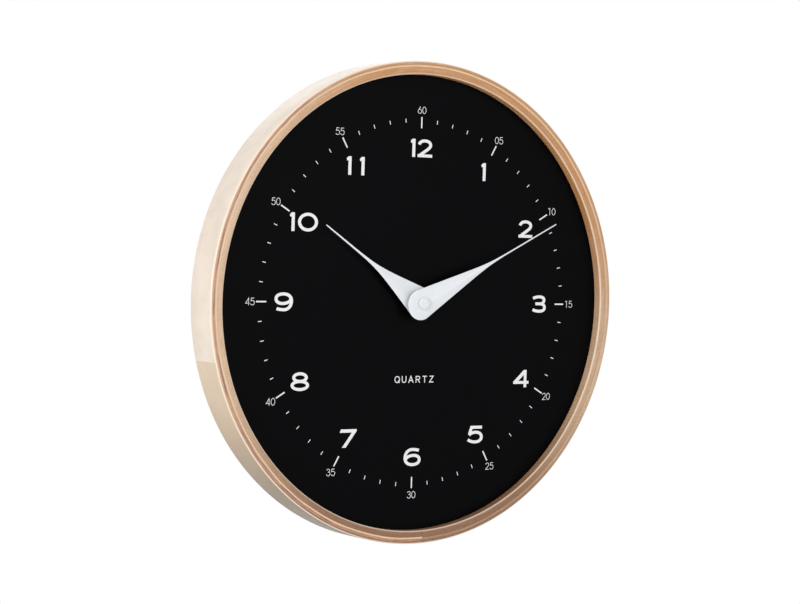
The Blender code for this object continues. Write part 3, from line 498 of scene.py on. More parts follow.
def birch_hoop(settings):
    """Plywood: birch veneer outside with its grain round the hoop, and the plies' edges in front."""
    finish = Finish("birch_plywood", roughness=0.5)
    finish.fixed(Coat_Weight=0.3, Coat_Roughness=0.22)
    veneer_r = RIM_R - settings.veneer
    second_r = veneer_r - settings.second_ply
    light_r = second_r - settings.light_ply
    lip = RIM_R - settings.wall

    # Birch veneer: pale, with soft clouds, long grain lines and short flecks; one sheet is more tan, and
    # that sheet darkens towards the bottom as painted shade
    turn, radius, y = finish.polar(VENEER_JOINT)
    along = finish.times(turn, RIM_R)
    broad = finish.noise(finish.scaled((along, 18), (y, 40), 0.0), detail=3, distortion=0.5)
    curl = finish.noise(finish.scaled((along, 90), (y, 60), 3.0), detail=2, distortion=0.8)
    grain = finish.noise(finish.scaled((along, 22), (y, 700), 7.0), detail=5, roughness=0.6)
    fleck = finish.noise(finish.scaled((along, 320), (y, 2600), 11.0), detail=2)
    fine = finish.plus(finish.times(curl, 0.3), finish.times(grain, 0.2))
    tone = finish.plus(finish.times(broad, 0.5), fine)
    pale = finish.mix(finish.stretch(tone, 0.38, 0.66), shade(settings.veneer_colour, 1.03),
                      shade(settings.veneer_colour, 0.92))
    # The tan sheet darkens to 0.36 of its colour towards the bottom, as painted shade.
    tan_sheet_with_shade = finish.mix(finish.stretch(turn, 2.3, 3.14, 1.0, 0.0), settings.tan_veneer_colour,
                           shade(settings.tan_veneer_colour, 0.36))
    tan_sheet_with_shade = finish.mix(finish.stretch(tone, 0.38, 0.66, 0.0, 0.25), tan_sheet_with_shade,
                           shade(settings.tan_veneer_colour, 0.8))
    sheet = finish.times(finish.stretch(turn, 0.2, 1.5), finish.stretch(turn, 2.7, 3.14, 1.0, 0.65))
    pale = finish.mix(sheet, pale, tan_sheet_with_shade)
    pale = finish.mix(finish.stretch(fleck, 0.66, 0.8, 0.0, 0.3), pale, (0.46, 0.30, 0.18))
    joint = finish.stretch(finish.math("ABSOLUTE", turn), math.pi - 0.0016, math.pi - 0.0006, 0.0, 0.25)
    pale = finish.mix(joint, pale, (0.36, 0.24, 0.15))

    # The plies' edges: fibres that run round the hoop, crossed by short slanted marks and open pores
    turn_in, radius, y = finish.polar(INNER_JOINT)
    along_in = finish.times(turn_in, RIM_R)
    streak = finish.noise(finish.scaled((along_in, 70), (radius, 2300), (y, 1500)), detail=4,
                          roughness=0.6, distortion=0.3)
    leaning = finish.plus(along_in, finish.times(radius, 0.5))
    slant = finish.noise(finish.scaled((leaning, 700), (radius, 220), (y, 220)), detail=3, roughness=0.6)
    pores = finish.noise(finish.scaled((along_in, 700), (radius, 1900), (y, 900)), detail=2)
    cloud = finish.noise(finish.scaled((along_in, 22), (radius, 260), (y, 60)), detail=3)
    orange = finish.times(finish.stretch(turn_in, -1.1, -0.15), finish.stretch(cloud, 0.25, 0.6, 0.75, 1.0))
    tan = finish.mix(orange, settings.ply_colour, settings.orange_ply_colour)
    # At the right the plies' edges take the right colour, partly darkened as painted shade.
    at_right = finish.stretch(turn_in, 1.1, 1.8)
    tan = finish.mix(at_right, tan, settings.right_ply_tone_and_shade_colour)
    # Towards the bottom the plies' edges darken to the low colour, as painted shade.
    tan = finish.mix(finish.stretch(turn_in, 1.9, 2.7), tan, settings.low_ply_shade_colour)
    tan = finish.mix(finish.stretch(turn_in, -2.7, -1.7, 1.0, 0.0), tan, settings.low_ply_shade_colour)
    grain_light = finish.plus(finish.times(streak, 0.75), finish.times(slant, 0.25))
    tan = finish.mix(finish.stretch(grain_light, 0.35, 0.62, 0.4, 0.0), tan, (0.30, 0.135, 0.055))
    tan = finish.mix(finish.stretch(grain_light, 0.50, 0.70, 0.0, 0.3), tan, (0.80, 0.54, 0.32))
    tan = finish.mix(finish.stretch(pores, 0.64, 0.76, 0.0, 0.5), tan, (0.24, 0.12, 0.06))
    joint_in = finish.stretch(finish.math("ABSOLUTE", turn_in), math.pi - 0.0030, math.pi - 0.0012,
                              0.0, 0.75)
    tan = finish.mix(joint_in, tan, (0.16, 0.08, 0.045))
    patch_turn = math.radians(PATCH_JOINT - INNER_JOINT + 180)
    from_patch = finish.math("ABSOLUTE", finish.minus(turn_in, patch_turn))
    tan = finish.mix(finish.stretch(from_patch, 0.0006, 0.0022, 0.35, 0.0), tan, (0.24, 0.13, 0.07))

    # The second ply is dark heartwood for part of the way round, and tan for the rest
    dark = finish.mix(finish.stretch(streak, 0.38, 0.60), shade(settings.dark_ply_colour, 0.75),
                      shade(settings.dark_ply_colour, 2.3))
    dark_end = math.radians(DARK_PLY_END - INNER_JOINT - 180)
    is_dark = finish.stretch(turn_in, dark_end - 0.03, dark_end + 0.005, 0.85, 0.0)
    second = finish.mix(is_dark, tan, dark)
    light = finish.mix(finish.stretch(streak, 0.3, 0.7), shade(settings.light_ply_colour, 0.88),
                       shade(settings.light_ply_colour, 1.08))
    light = finish.mix(finish.times(at_right, 0.7), light, tan)

    # The plies change with the radius, along slightly wavy lines
    wave = finish.noise(finish.scaled((along_in, 45), (y, 60), 5.0), detail=2)
    wavy = finish.plus(radius, finish.times(finish.minus(wave, 0.5), 0.9 * MM))
    wavy = finish.plus(wavy, finish.stretch(turn_in, -1.5, -0.6, 0.7 * MM, 0.0))
    blur = 0.22 * MM
    colour = finish.mix(finish.stretch(wavy, light_r - blur, light_r + blur), tan, light)
    colour = finish.mix(finish.stretch(wavy, second_r - blur, second_r + blur), colour, second)
    colour = finish.mix(finish.stretch(wavy, veneer_r - blur, veneer_r + blur, 0.0, 0.9), colour, tan)

    # Both front edges are sanded round; their paler colour is partly sanded wood and partly a painted
    # highlight where light catches the roundings, and the veneer's own face begins behind them
    from_front = finish.minus(y, RIM_LOW.y)
    from_inner = finish.math("MAXIMUM", finish.minus(radius, lip), from_front)
    from_outer = finish.math("MAXIMUM", finish.minus(RIM_R, radius), from_front)
    # The paler rounded edges are partly sanded wood and partly a painted highlight.
    sanded_highlight_share = finish.math("MAXIMUM", finish.stretch(from_inner, 0.5 * MM, 1.5 * MM, 0.6, 0.0),
                       finish.stretch(from_outer, 0.5 * MM, 1.3 * MM, 0.85, 0.0))
    is_veneer = finish.stretch(radius, RIM_R - 0.45 * MM, RIM_R - 0.2 * MM)
    colour = finish.mix(is_veneer, colour, pale)
    colour = finish.mix(sanded_highlight_share, colour, settings.sanded_highlight_colour)
    finish.colour(colour)
    finish.rough(finish.stretch(grain, 0.3, 0.7, 0.42, 0.56))
    height = finish.node("Mix", data_type="FLOAT")
    finish.feed(height.inputs[0], is_veneer)
    finish.feed(height.inputs[2], finish.minus(streak, finish.stretch(pores, 0.64, 0.76)))
    finish.feed(height.inputs[3], finish.plus(finish.times(grain, 0.6), finish.times(fleck, 0.4)))
    finish.relief(height.outputs[0], 0.04 * MM, 0.4)
    return finish.material


def painted_dial(settings):
    """Satin black paint on the front of a fibreboard disc whose back and edge are bare."""
    finish = Finish("black_dial_board", roughness=0.5)
    finish.fixed(Specular_IOR_Level=0.045)
    place = finish.place()
    _, y, _ = finish.split(place)
    fibres = finish.noise(finish.vector_math("MULTIPLY", place, (900.0, 900.0, 500.0)), detail=6,
                          roughness=0.7, distortion=0.8)
    flakes = finish.noise(place, scale=260, detail=4, roughness=0.6, distortion=1.5)
    brown = finish.mix(finish.stretch(fibres, 0.3, 0.7), shade(settings.board, 0.7),
                       shade(settings.board, 1.35))
    brown = finish.mix(finish.stretch(flakes, 0.55, 0.7, 0.0, 0.35), brown, shade(settings.board, 1.9))
    peel = finish.noise(place, scale=1400, detail=2)
    black = finish.mix(finish.stretch(peel, 0.3, 0.7), shade(settings.black, 0.9),
                       shade(settings.black, 1.12))
    bare = finish.stretch(y, 0.15 * MM, 0.35 * MM)
    finish.colour(finish.mix(bare, black, brown))
    finish.rough(finish.stretch(finish.noise(place, scale=35, detail=3), 0.3, 0.7, 0.36, 0.44))
    finish.relief(finish.plus(finish.times(peel, 0.12),
                              finish.times(finish.times(fibres, bare), 0.9)),
                  0.08 * MM, 0.5)
    return finish.material


def matte_paint(name, colour, grain=1800, depth=0.01 * MM, roughness=0.52, variation=0.03):
    """Matte paint or ink with a very fine orange peel."""
    finish = Finish(name, roughness=roughness)
    finish.fixed(Specular_IOR_Level=0.35)
    place = finish.place()
    cloud = finish.noise(place, scale=60, detail=3)
    peel = finish.noise(place, scale=grain, detail=3)
    finish.colour(finish.mix(finish.stretch(cloud, 0.3, 0.7), shade(colour, 1 - variation),
                             shade(colour, 1 + variation)))
    finish.rough(finish.stretch(peel, 0.3, 0.7, roughness - 0.05, roughness + 0.06))
    finish.relief(peel, depth, 0.5)
    return finish.material


def moulded_plastic(name, colour, roughness=0.5, grain=2600, depth=0.03 * MM):
    """Moulded plastic with the fine spark-eroded texture of its tool."""
    finish = Finish(name, roughness=roughness)
    finish.fixed(Specular_IOR_Level=0.45)
    place = finish.place()
    texture = finish.noise(place, scale=grain, detail=4, roughness=0.6)
    flow = finish.noise(finish.vector_math("MULTIPLY", place, (90.0, 90.0, 25.0)), detail=3,
                        distortion=0.7)
    finish.colour(finish.mix(finish.stretch(flow, 0.3, 0.7), shade(colour, 0.88), shade(colour, 1.14)))
    finish.rough(finish.stretch(texture, 0.3, 0.7, roughness - 0.07, roughness + 0.09))
    finish.relief(texture, depth, 0.4)
    return finish.material


def zinc_plate(name, colour=(0.60, 0.61, 0.64)):
    """Rolled steel with a thin zinc plating: fine rolling lines and cloudy passivation."""
    finish = Finish(name, roughness=0.34, metallic=1.0)
    place = finish.place()
    lines = finish.noise(finish.vector_math("MULTIPLY", place, (3200.0, 700.0, 60.0)), detail=4,
                         roughness=0.7)
    cloud = finish.noise(place, scale=160, detail=5, roughness=0.65, distortion=0.6)
    tint = finish.mix(finish.stretch(cloud, 0.3, 0.7), shade(colour, 0.86),
                      (colour[0] * 1.04, colour[1] * 1.05, colour[2] * 1.08))
    finish.colour(finish.mix(finish.stretch(lines, 0.35, 0.65, 0.0, 0.25), tint, shade(colour, 0.7)))
    finish.rough(finish.stretch(finish.plus(cloud, finish.times(lines, 0.4)),
                                0.45, 1.0, 0.24, 0.46))
    finish.relief(lines, 0.02 * MM, 0.35)
    return finish.material


def turned_metal(name, colour, node, rings=5200, roughness=0.26):
    """Metal turned on a lathe: rings about the node's own axis, with light tarnish."""
    finish = Finish(name, roughness=roughness, metallic=1.0)
    centre = centre_of(node)
    turn, radius, y = finish.polar(centre=(centre.x, ORIGIN.y, centre.z))
    ring = finish.noise(finish.combine(finish.times(radius, rings),
                                       finish.times(y, rings), turn), detail=2)
    tarnish = finish.noise(finish.place(), scale=420, detail=5, roughness=0.65)
    finish.colour(finish.mix(finish.stretch(tarnish, 0.35, 0.75), colour, shade(colour, 0.62)))
    finish.rough(finish.stretch(tarnish, 0.3, 0.75, roughness - 0.05, roughness + 0.14))
    finish.relief(ring, 0.015 * MM, 0.4)
    return finish.material


def wound_wire(name, colour):
    """Enamelled wire wound side by side round the coil, which runs along X."""
    finish = Finish(name, roughness=0.3, metallic=0.9)
    x, _, z = finish.split(finish.place())
    along = finish.plus(x, finish.times(z, 0.02))
    turns = finish.math("SINE", finish.times(along, 2 * math.pi / (0.14 * MM)))
    patches = finish.noise(finish.place(), scale=900, detail=3)
    height = finish.stretch(turns, -1.0, 1.0)
    # The wire darkens to 0.3 of its colour in the grooves between turns, as painted shade.
    finish.colour(finish.mix(finish.times(height, finish.stretch(patches, 0.2, 0.8, 0.6, 1.0)),
                             shade(colour, 0.3), colour))
    finish.relief(height, 0.05 * MM, 0.8)
    return finish.material


def circuit_laminate(name, colour):
    """Green solder mask over copper tracks, with tinned pads between them."""
    finish = Finish(name, roughness=0.35)
    place = finish.place()
    x, _, z = finish.split(place)
    zigzag = finish.times(finish.math("PINGPONG", z, 4 * MM), 0.7)
    tracks = finish.math("SINE", finish.times(finish.plus(x, zigzag), 2 * math.pi / (1.4 * MM)))
    weave = finish.noise(place, scale=2200, detail=3)
    height = finish.stretch(tracks, 0.1, 0.4)
    finish.colour(finish.mix(height, shade(colour, 0.7), shade(colour, 1.7)))
    finish.relief(finish.plus(height, finish.times(weave, 0.15)), 0.04 * MM, 0.6)
    return finish.material


def ferrite(name):
    finish = Finish(name, roughness=0.55, metallic=0.3)
    grains = finish.noise(finish.place(), scale=2600, detail=5, roughness=0.7)
    finish.colour(finish.mix(finish.stretch(grains, 0.3, 0.7), (0.030, 0.030, 0.033),
                             (0.085, 0.085, 0.092)))
    finish.relief(grains, 0.03 * MM, 0.6)
    return finish.material


def rubber(name, colour=(0.020, 0.020, 0.021)):
    finish = Finish(name, roughness=0.75)
    finish.fixed(Specular_IOR_Level=0.3)
    bloom = finish.noise(finish.place(), scale=500, detail=4)
    finish.colour(finish.mix(finish.stretch(bloom, 0.3, 0.75), colour, shade(colour, 2.0)))
    finish.rough(finish.stretch(bloom, 0.3, 0.7, 0.66, 0.86))
    finish.relief(finish.noise(finish.place(), scale=3000, detail=3), 0.02 * MM, 0.5)
    return finish.material


def cell_film(settings):
    """The cell's printed film: a dark body, a pale band and a light ring, all along the cell."""
    finish = Finish("cell_film", roughness=0.28)
    finish.fixed(Coat_Weight=0.5, Coat_Roughness=0.12)
    centre = centre_of("aa_cell")
    x, _, _ = finish.split(finish.place(centre))
    along = finish.math("DIVIDE", x, CELL_HIGH.x - CELL_LOW.x)
    is_band = finish.stretch(along, 0.205, 0.208)
    is_ring = finish.times(finish.stretch(along, 0.185, 0.188),
                          finish.stretch(along, 0.205, 0.208, 1.0, 0.0))
    scuff = finish.noise(finish.vector_math("MULTIPLY", finish.place(centre), (60.0, 900.0, 900.0)),
                         detail=4)
    colour = finish.mix(is_band, settings.jacket, (0.52, 0.54, 0.56))
    colour = finish.mix(is_ring, colour, (0.78, 0.78, 0.78))
    finish.colour(finish.mix(finish.stretch(scuff, 0.6, 0.85, 0.0, 0.12), colour, (0.35, 0.36, 0.38)))
    finish.rough(finish.stretch(scuff, 0.3, 0.8, 0.22, 0.42))
    finish.relief(scuff, 0.01 * MM, 0.25)
    return finish.material


def studio_floor():
    """Pale paper that looks as bright as the background to the camera."""
    finish = Finish("studio_floor", roughness=0.75)
    finish.fixed(Specular_IOR_Level=0.1)
    paper = finish.noise(finish.place(), scale=40, detail=4)
    finish.colour(finish.mix(paper, (0.84, 0.84, 0.84), (0.87, 0.87, 0.87)))
    glow = finish.node("Emission")
    path = finish.node("LightPath")
    mixed = finish.node("MixShader")
    finish.feed(mixed.inputs[0], path.outputs["Is Camera Ray"])
    finish.feed(mixed.inputs[1], finish.shader.outputs[0])
    finish.feed(mixed.inputs[2], glow.outputs[0])
    finish.feed(finish.tree.nodes["Material Output"].inputs["Surface"], mixed.outputs[0])
    return finish.material


# ---------------------------------------------------------------------------------------------
# Printed figures

# Strokes of the wide, bold hour figures, in millimetres about each figure's middle. A stroke is its
# first point and then, for each part, the end of a straight line or a curve's two handles and its end.
BOLD_NIB = (1.42, 1.24)
OVER = 6.2
SIX = [
    [(6.5, 5.45), (4.2, 6.1, 2.2, 6.35, -0.2, 6.35), (-4.5, 6.35, -7.2, 3.3, -7.2, -0.6),
     (-7.2, -4.2, -4.2, -6.3, 0.2, -6.3), (4.6, -6.3, 7.2, -4.8, 7.2, -2.4),
     (7.2, -0.1, 4.9, 1.4, 1.2, 1.4)],
    [(1.4, 1.4), (-2.6, 1.4, -5.6, 0.3, -6.9, -2.2)],
]
BOLD_STROKES = {
    "2": [[(-5.9, 3.0), (-5.2, 5.2, -2.9, OVER, -0.4, OVER), (3.2, OVER, 5.6, 4.9, 5.6, 2.6),
           (5.6, 0.2, 0.8, -1.8, -5.0, -5.9)],
          [(-7.3, -6.2), (7.4, -6.2)]],
    "3": [[(-7.1, 4.9), (-4.6, 5.8, -2.5, OVER, -0.2, OVER), (3.0, OVER, 4.8, 5.2, 4.8, 3.45),
           (4.8, 1.5, 3.2, 0.2, 0.4, 0.2), (-4.4, 0.2)],
          [(0.2, 0.2), (3.8, 0.2, 5.5, -1.0, 5.5, -3.0), (5.5, -5.2, 3.4, -OVER, -0.2, -OVER),
           (-2.8, -OVER, -4.9, -5.8, -7.2, -4.8)]],
    "5": [[(7.0, OVER), (-3.9, OVER), (-6.0, 0.3)],
          [(-6.4, -0.35), (-4.4, 1.3, -2.0, 2.0, 0.5, 2.0), (4.5, 2.0, 6.6, 0.2, 6.6, -2.1),
           (6.6, -4.7, 4.0, -6.25, -0.2, -6.25), (-3.0, -6.25, -5.4, -5.5, -7.5, -4.2)]],
    "6": SIX,
    "9": [[tuple(-number for number in part) for part in stroke] for stroke in SIX],
}
BOLD_LOOPS = {
    "0": [(0, 0, 8.0, 6.3)],
    "8": [(0, 3.3, 5.9, 3.1), (0, -3.05, 7.3, 3.25)],
}
BOLD_SHAPES = {
    "1": [(2.3, 7.5), (-0.5, 7.5), (-2.3, 5.9), (-1.9, 3.9), (-0.6, 4.4), (-0.6, -7.5), (2.3, -7.5)],
    "7": [(-7.1, 7.5), (8.2, 7.5), (8.2, 6.0), (-2.1, -7.5), (-5.7, -7.5), (3.7, 4.8), (-8.1, 4.8)],
    "4": [(-8.2, -4.5), (-8.2, -2.7), (2.9, 7.4), (5.8, 7.4), (5.8, -2.05), (8.2, -2.05), (8.2, -4.5),
          (5.8, -4.5), (5.8, -7.5), (3.0, -7.5), (3.0, -4.5)],
}
FOUR_EYE = [(3.0, 3.3), (3.0, -2.05), (-2.9, -2.05)]
# The hour numerals' figures, each with its shift along X from the numeral's middle
HOUR_NUMERALS = {
    1: (("1", 0.4),), 2: (("2", -0.3),), 3: (("3", 0.0),), 4: (("4", -0.3),), 5: (("5", -0.2),),
    6: (("6", 0.0),), 7: (("7", 0.2),), 8: (("8", -0.3),), 9: (("9", -0.3),),
    10: (("1", -11.6), ("0", 3.2)), 11: (("1", -6.2), ("1", 6.5)), 12: (("1", -8.1), ("2", 4.0)),
}

# Strokes of the thin minute figures and of the plain word on the dial
THIN_NIB = (0.22, 0.22)
THIN_STROKES = {
    "1": [[(-1.3, 2.2), (0.4, 2.75), (0.4, -3.05)]],
    "2": [[(-1.55, 1.4), (-1.5, 2.3, -0.9, 2.75, 0.0, 2.75), (1.0, 2.75, 1.6, 2.1, 1.6, 1.3),
           (1.6, 0.4, 0.4, -0.7, -1.6, -2.75), (1.8, -2.75)]],
    "3": [[(-1.5, 1.7), (-1.3, 2.4, -0.7, 2.75, 0.0, 2.75), (0.9, 2.75, 1.4, 2.2, 1.4, 1.5),
           (1.4, 0.7, 0.8, 0.3, -0.3, 0.3)],
          [(-0.3, 0.3), (1.1, 0.3, 1.7, -0.4, 1.7, -1.2), (1.7, -2.1, 1.0, -2.75, 0.0, -2.75),
           (-0.9, -2.75, -1.5, -2.3, -1.65, -1.5)]],
    "4": [[(0.95, -3.05), (0.95, 2.6), (-1.75, -1.35), (1.9, -1.35)]],
    "5": [[(1.5, 2.75), (-1.0, 2.75), (-1.3, 0.3)],
          [(-1.35, 0.25), (-0.9, 0.75, -0.4, 0.85, 0.1, 0.85), (1.2, 0.85, 1.8, 0.1, 1.8, -0.95),
           (1.8, -2.0, 1.1, -2.75, 0.0, -2.75), (-0.8, -2.75, -1.4, -2.3, -1.65, -1.6)]],
    "6": [[(0.6, 3.0), (-1.35, -0.1)]],
}
THIN_LOOPS = {"0": [(0, 0, 1.75, 2.75)], "6": [(0, -1.05, 1.75, 1.7)]}
MINUTE_NUMERALS = ("60", "05", "10", "15", "20", "25", "30", "35", "40", "45", "50", "55")
FIGURE_PITCH = 4.5

WORD = "QUARTZ"
WORD_NIB = (0.37, 0.37)
WORD_PITCH = 6.9
WORD_Z = -63.6
WORD_STROKES = {
    "Q": [[(0.9, -0.9), (2.4, -2.7)]],
    "U": [[(-1.9, 2.85), (-1.9, -0.6), (-1.9, -1.9, -1.1, -2.45, 0.0, -2.45),
           (1.1, -2.45, 1.9, -1.9, 1.9, -0.6), (1.9, 2.85)]],
    "A": [[(-2.3, -2.85), (-0.05, 2.6), (2.3, -2.85)], [(-1.4, -1.0), (1.4, -1.0)]],
    "R": [[(-1.8, -2.85), (-1.8, 2.85)],
          [(-1.8, 2.43), (0.2, 2.43), (1.5, 2.43, 1.9, 1.8, 1.9, 1.1), (1.9, 0.3, 1.4, -0.2, 0.2, -0.2),
           (-1.8, -0.2)],
          [(0.1, -0.2), (2.0, -2.85)]],
    "T": [[(-2.2, 2.43), (2.2, 2.43)], [(0.0, 2.43), (0.0, -2.85)]],
    "Z": [[(-2.0, 2.43), (1.7, 2.43), (-1.9, -2.43), (2.1, -2.43)]],
}
WORD_LOOPS = {"Q": [(0, 0, 2.3, 2.5)]}


def trace(stroke, steps=10):
    """The points of a stroke, with its curves as short straight lines."""
    points = [Vector(stroke[0])]
    for part in stroke[1:]:
        end = Vector(part[-2:])
        if len(part) == 2:
            points.append(end)
            continue
        start, first, second = points[-1].copy(), Vector(part[:2]), Vector(part[2:4])
        for i in range(1, steps + 1):
            t = i / steps
            u = 1 - t
            points.append(start * u ** 3 + first * 3 * u * u * t + second * 3 * u * t * t + end * t ** 3)
    return points


def ribbon(points, nib):
    """The outline that an oval nib of the given half width and half height leaves along a line."""
    sides = ([], [])
    for i, point in enumerate(points):
        before = points[max(i - 1, 0)]
        after = points[min(i + 1, len(points) - 1)]
        normals = []
        for a, b in ((before, point), (point, after)):
            step = Vector(((b.x - a.x) / nib[0], (b.y - a.y) / nib[1]))
            if step.length > 0:
                normals.append(Vector((-step.y, step.x)).normalized())
        normal = (normals[0] + normals[-1]).normalized()
        normal /= max(normal.dot(normals[0]), 0.3)
        for side, sign in zip(sides, (1, -1)):
            side.append((point.x + sign * normal.x * nib[0], point.y + sign * normal.y * nib[1]))
    return sides[0] + sides[1][::-1]


def loop_outlines(loop, nib, segments=48):
    """The outer and inner outlines of an oval stroke (x, z, half width, half height)."""
    x, z, wide, high = loop
    outlines = []
    for sign in (1, -1):
        outlines.append([(x + (wide + sign * nib[0]) * math.cos(2 * math.pi * i / segments),
                          z + (high + sign * nib[1]) * math.sin(2 * math.pi * i / segments))
                         for i in range(segments)])
    return outlines


def figure(strokes, loops, nib, thick):
    """One figure, drawn in millimetres, as a flat solid of ink on the dial's face."""
    solids = []
    for stroke in strokes:
        solids.append(plate(ribbon(trace(stroke), nib), -thick / MM, 0.0))
    for loop in loops:
        outer, inner = loop_outlines(loop, nib)
        solids.append(plate(outer, -thick / MM, 0.0, [inner]))
    if len(solids) > 1:
        return join(solids[0], *solids[1:], merge=UM / MM)
    return solids[0]


def bold_figure(character, thick):
    if character in BOLD_SHAPES:
        eye = [FOUR_EYE] if character == "4" else []
        return plate(BOLD_SHAPES[character], -thick / MM, 0.0, eye)
    return figure(BOLD_STROKES.get(character, ()), BOLD_LOOPS.get(character, ()), BOLD_NIB, thick)


def add_copy(target, source, matrix):
    """Add a copy of the mesh source, moved by matrix, to the bmesh target."""
    copy = bmesh.new()
    copy.from_mesh(source)
    bmesh.ops.transform(copy, matrix=matrix, verts=copy.verts)
    mesh = bpy.data.meshes.new("copy")
    copy.to_mesh(mesh)
    copy.free()
    target.from_mesh(mesh)
    bpy.data.meshes.remove(mesh)


def to_mesh(bm):
    mesh = bpy.data.meshes.new("figure")
    bm.to_mesh(mesh)
    bm.free()
    return mesh


def figure_place(x, z):
    """Where a figure drawn in millimetres goes on the dial, in metres."""
    return Matrix.Translation((x, 0, z)) @ Matrix.Diagonal((MM, MM, MM, 1))


def on_dial(angle_degrees, radius):
    turn = math.radians(angle_degrees)
    return radius * math.sin(turn), radius * math.cos(turn)


def ticks(angles, inner, outer, width, thick):
    """Straight printed ticks at the given angles, in one mesh."""
    bm = bmesh.new()
    tick = to_mesh(block(-width / 2, width / 2, -thick, 0.0, inner, outer))
    for angle in angles:
        add_copy(bm, tick, Matrix.Rotation(math.radians(angle), 4, "Y"))
    return bm


# ---------------------------------------------------------------------------------------------
# Operators


class CLOCK_OT_stage(bpy.types.Operator):
    """Set up the camera, the soft lights and the pale floor"""

    bl_idname = "clock.stage"
    bl_label = "Stage"

    camera_place = (-1.06564, -1.57682, 0.00958)
    camera_angles = (88.3372, -1.6437, -33.9636)     # in degrees
    camera_reach = 50
    key_place = (-2.6, -1.15, 0.5)
    front_place = (0.55, -2.4, 0.5)
    back_place = (0.9, 2.0, 1.1)
    lamp_size = 1.4
    back_lamp_size = 1.6
    front_shine = 7.0                                # how far the front light's highlights are lifted
    floor_radius = 12

    def execute(self, context):
        settings = context.scene.clock_stage
        camera = bpy.data.objects.new("camera", bpy.data.cameras.new("camera"))
        camera.location = self.camera_place
        camera.rotation_euler = [math.radians(angle) for angle in self.camera_angles]
        camera.data.lens = settings.lens
        camera.data.clip_end = self.camera_reach
        context.scene.collection.objects.link(camera)
        context.scene.camera = camera
        self.add_light("key_light", self.key_place, self.lamp_size, settings.key)
        self.add_light("front_light", self.front_place, self.lamp_size, settings.fill, self.front_shine)
        self.add_light("back_light", self.back_place, self.back_lamp_size, settings.back)
        self.make_world(context, settings)
        context.scene.view_settings.view_transform = "Standard"
        floor = scratch_object(self.floor_disc(settings.floor_drop), "floor")
        floor.data.materials.append(studio_floor())
        return {"FINISHED"}

    def add_light(self, name, place, size, power, shine=1.0):
        light = bpy.data.lights.new(name, "AREA")
        light.shape = "SQUARE"
        light.size = size
        light.energy = power
        light.specular_factor = shine
        lamp = bpy.data.objects.new(name, light)
        lamp.location = place
        target = centre_of("dial_panel")
        lamp.rotation_euler = (target - Vector(place)).to_track_quat("-Z", "Y").to_euler()
        bpy.context.scene.collection.objects.link(lamp)

    def floor_disc(self, drop):
        bm = bmesh.new()
        bmesh.ops.create_circle(bm, cap_ends=True, segments=128, radius=self.floor_radius)
        return shift(bm, z=CAD_BOUNDS[0].z - drop)

    def make_world(self, context, settings):
        """Even light from all round, and a white background for the camera."""
        world = bpy.data.worlds.new("studio")
        world.use_nodes = True
        tree = world.node_tree
        even = tree.nodes["Background"]
        even.inputs["Color"].default_value = (1, 1, 1, 1)
        even.inputs["Strength"].default_value = settings.ambient
        white = tree.nodes.new("ShaderNodeBackground")
        white.inputs["Color"].default_value = (1, 1, 1, 1)
        path = tree.nodes.new("ShaderNodeLightPath")
        mixed = tree.nodes.new("ShaderNodeMixShader")
        tree.links.new(path.outputs["Is Camera Ray"], mixed.inputs[0])
        tree.links.new(even.outputs[0], mixed.inputs[1])
        tree.links.new(white.outputs[0], mixed.inputs[2])
        tree.links.new(mixed.outputs[0], tree.nodes["World Output"].inputs["Surface"])
        context.scene.world = world


class CLOCK_OT_hoop(bpy.types.Operator):
    """Turn the bent plywood hoop, with its rounded front edges and its rebate"""

    bl_idname = "clock.hoop"
    bl_label = "Plywood hoop"

    segments = 360
    rear_bevel = 0.8 * MM
    line_wide = 0.16 * MM
    line_deep = 0.07 * MM

    def execute(self, context):
        settings = context.scene.clock_hoop
        lip = RIM_R - settings.wall
        front = RIM_LOW.y
        back = RIM_HIGH.y
        soft = settings.front_round
        veneer_r = RIM_R - settings.veneer
        second_r = veneer_r - settings.second_ply
        light_r = second_r - settings.light_ply
        profile = [(lip, -GAP)]
        profile += arc((lip + soft, front + soft), soft, 180, 270, 6)
        for radius in (light_r, second_r):
            profile += [(radius - self.line_wide, front), (radius, front + self.line_deep),
                        (radius + self.line_wide, front)]
        profile += arc((RIM_R - soft, front + soft), soft, 270, 360, 6)
        profile += arc((RIM_R - self.rear_bevel, back - self.rear_bevel), self.rear_bevel, 0, 90, 3)
        profile += [(REBATE_R + self.rear_bevel / 2, back), (REBATE_R, back - self.rear_bevel / 2),
                    (REBATE_R, -GAP)]
        hoop = spun(profile, self.segments, closed=True)
        finish_piece("plywood_hoop", hoop, birch_hoop(settings), "case", ["bentwood_rim"])
        return {"FINISHED"}


class CLOCK_OT_dial(bpy.types.Operator):
    """Make the fibreboard dial with its painted face"""

    bl_idname = "clock.dial"
    bl_label = "Dial"

    edge = 0.15 * MM

    def execute(self, context):
        settings = context.scene.clock_dial
        thick = DIAL_HIGH.y
        edge = self.edge
        profile = [(BUSH_HOLE_R, 0), (DIAL_R - edge, 0), (DIAL_R, edge), (DIAL_R, thick - edge),
                   (DIAL_R - edge, thick), (BUSH_HOLE_R, thick)]
        board = spun(profile, 256, closed=True)
        finish_piece("dial_board", board, painted_dial(settings), "case", ["dial_panel"])
        return {"FINISHED"}


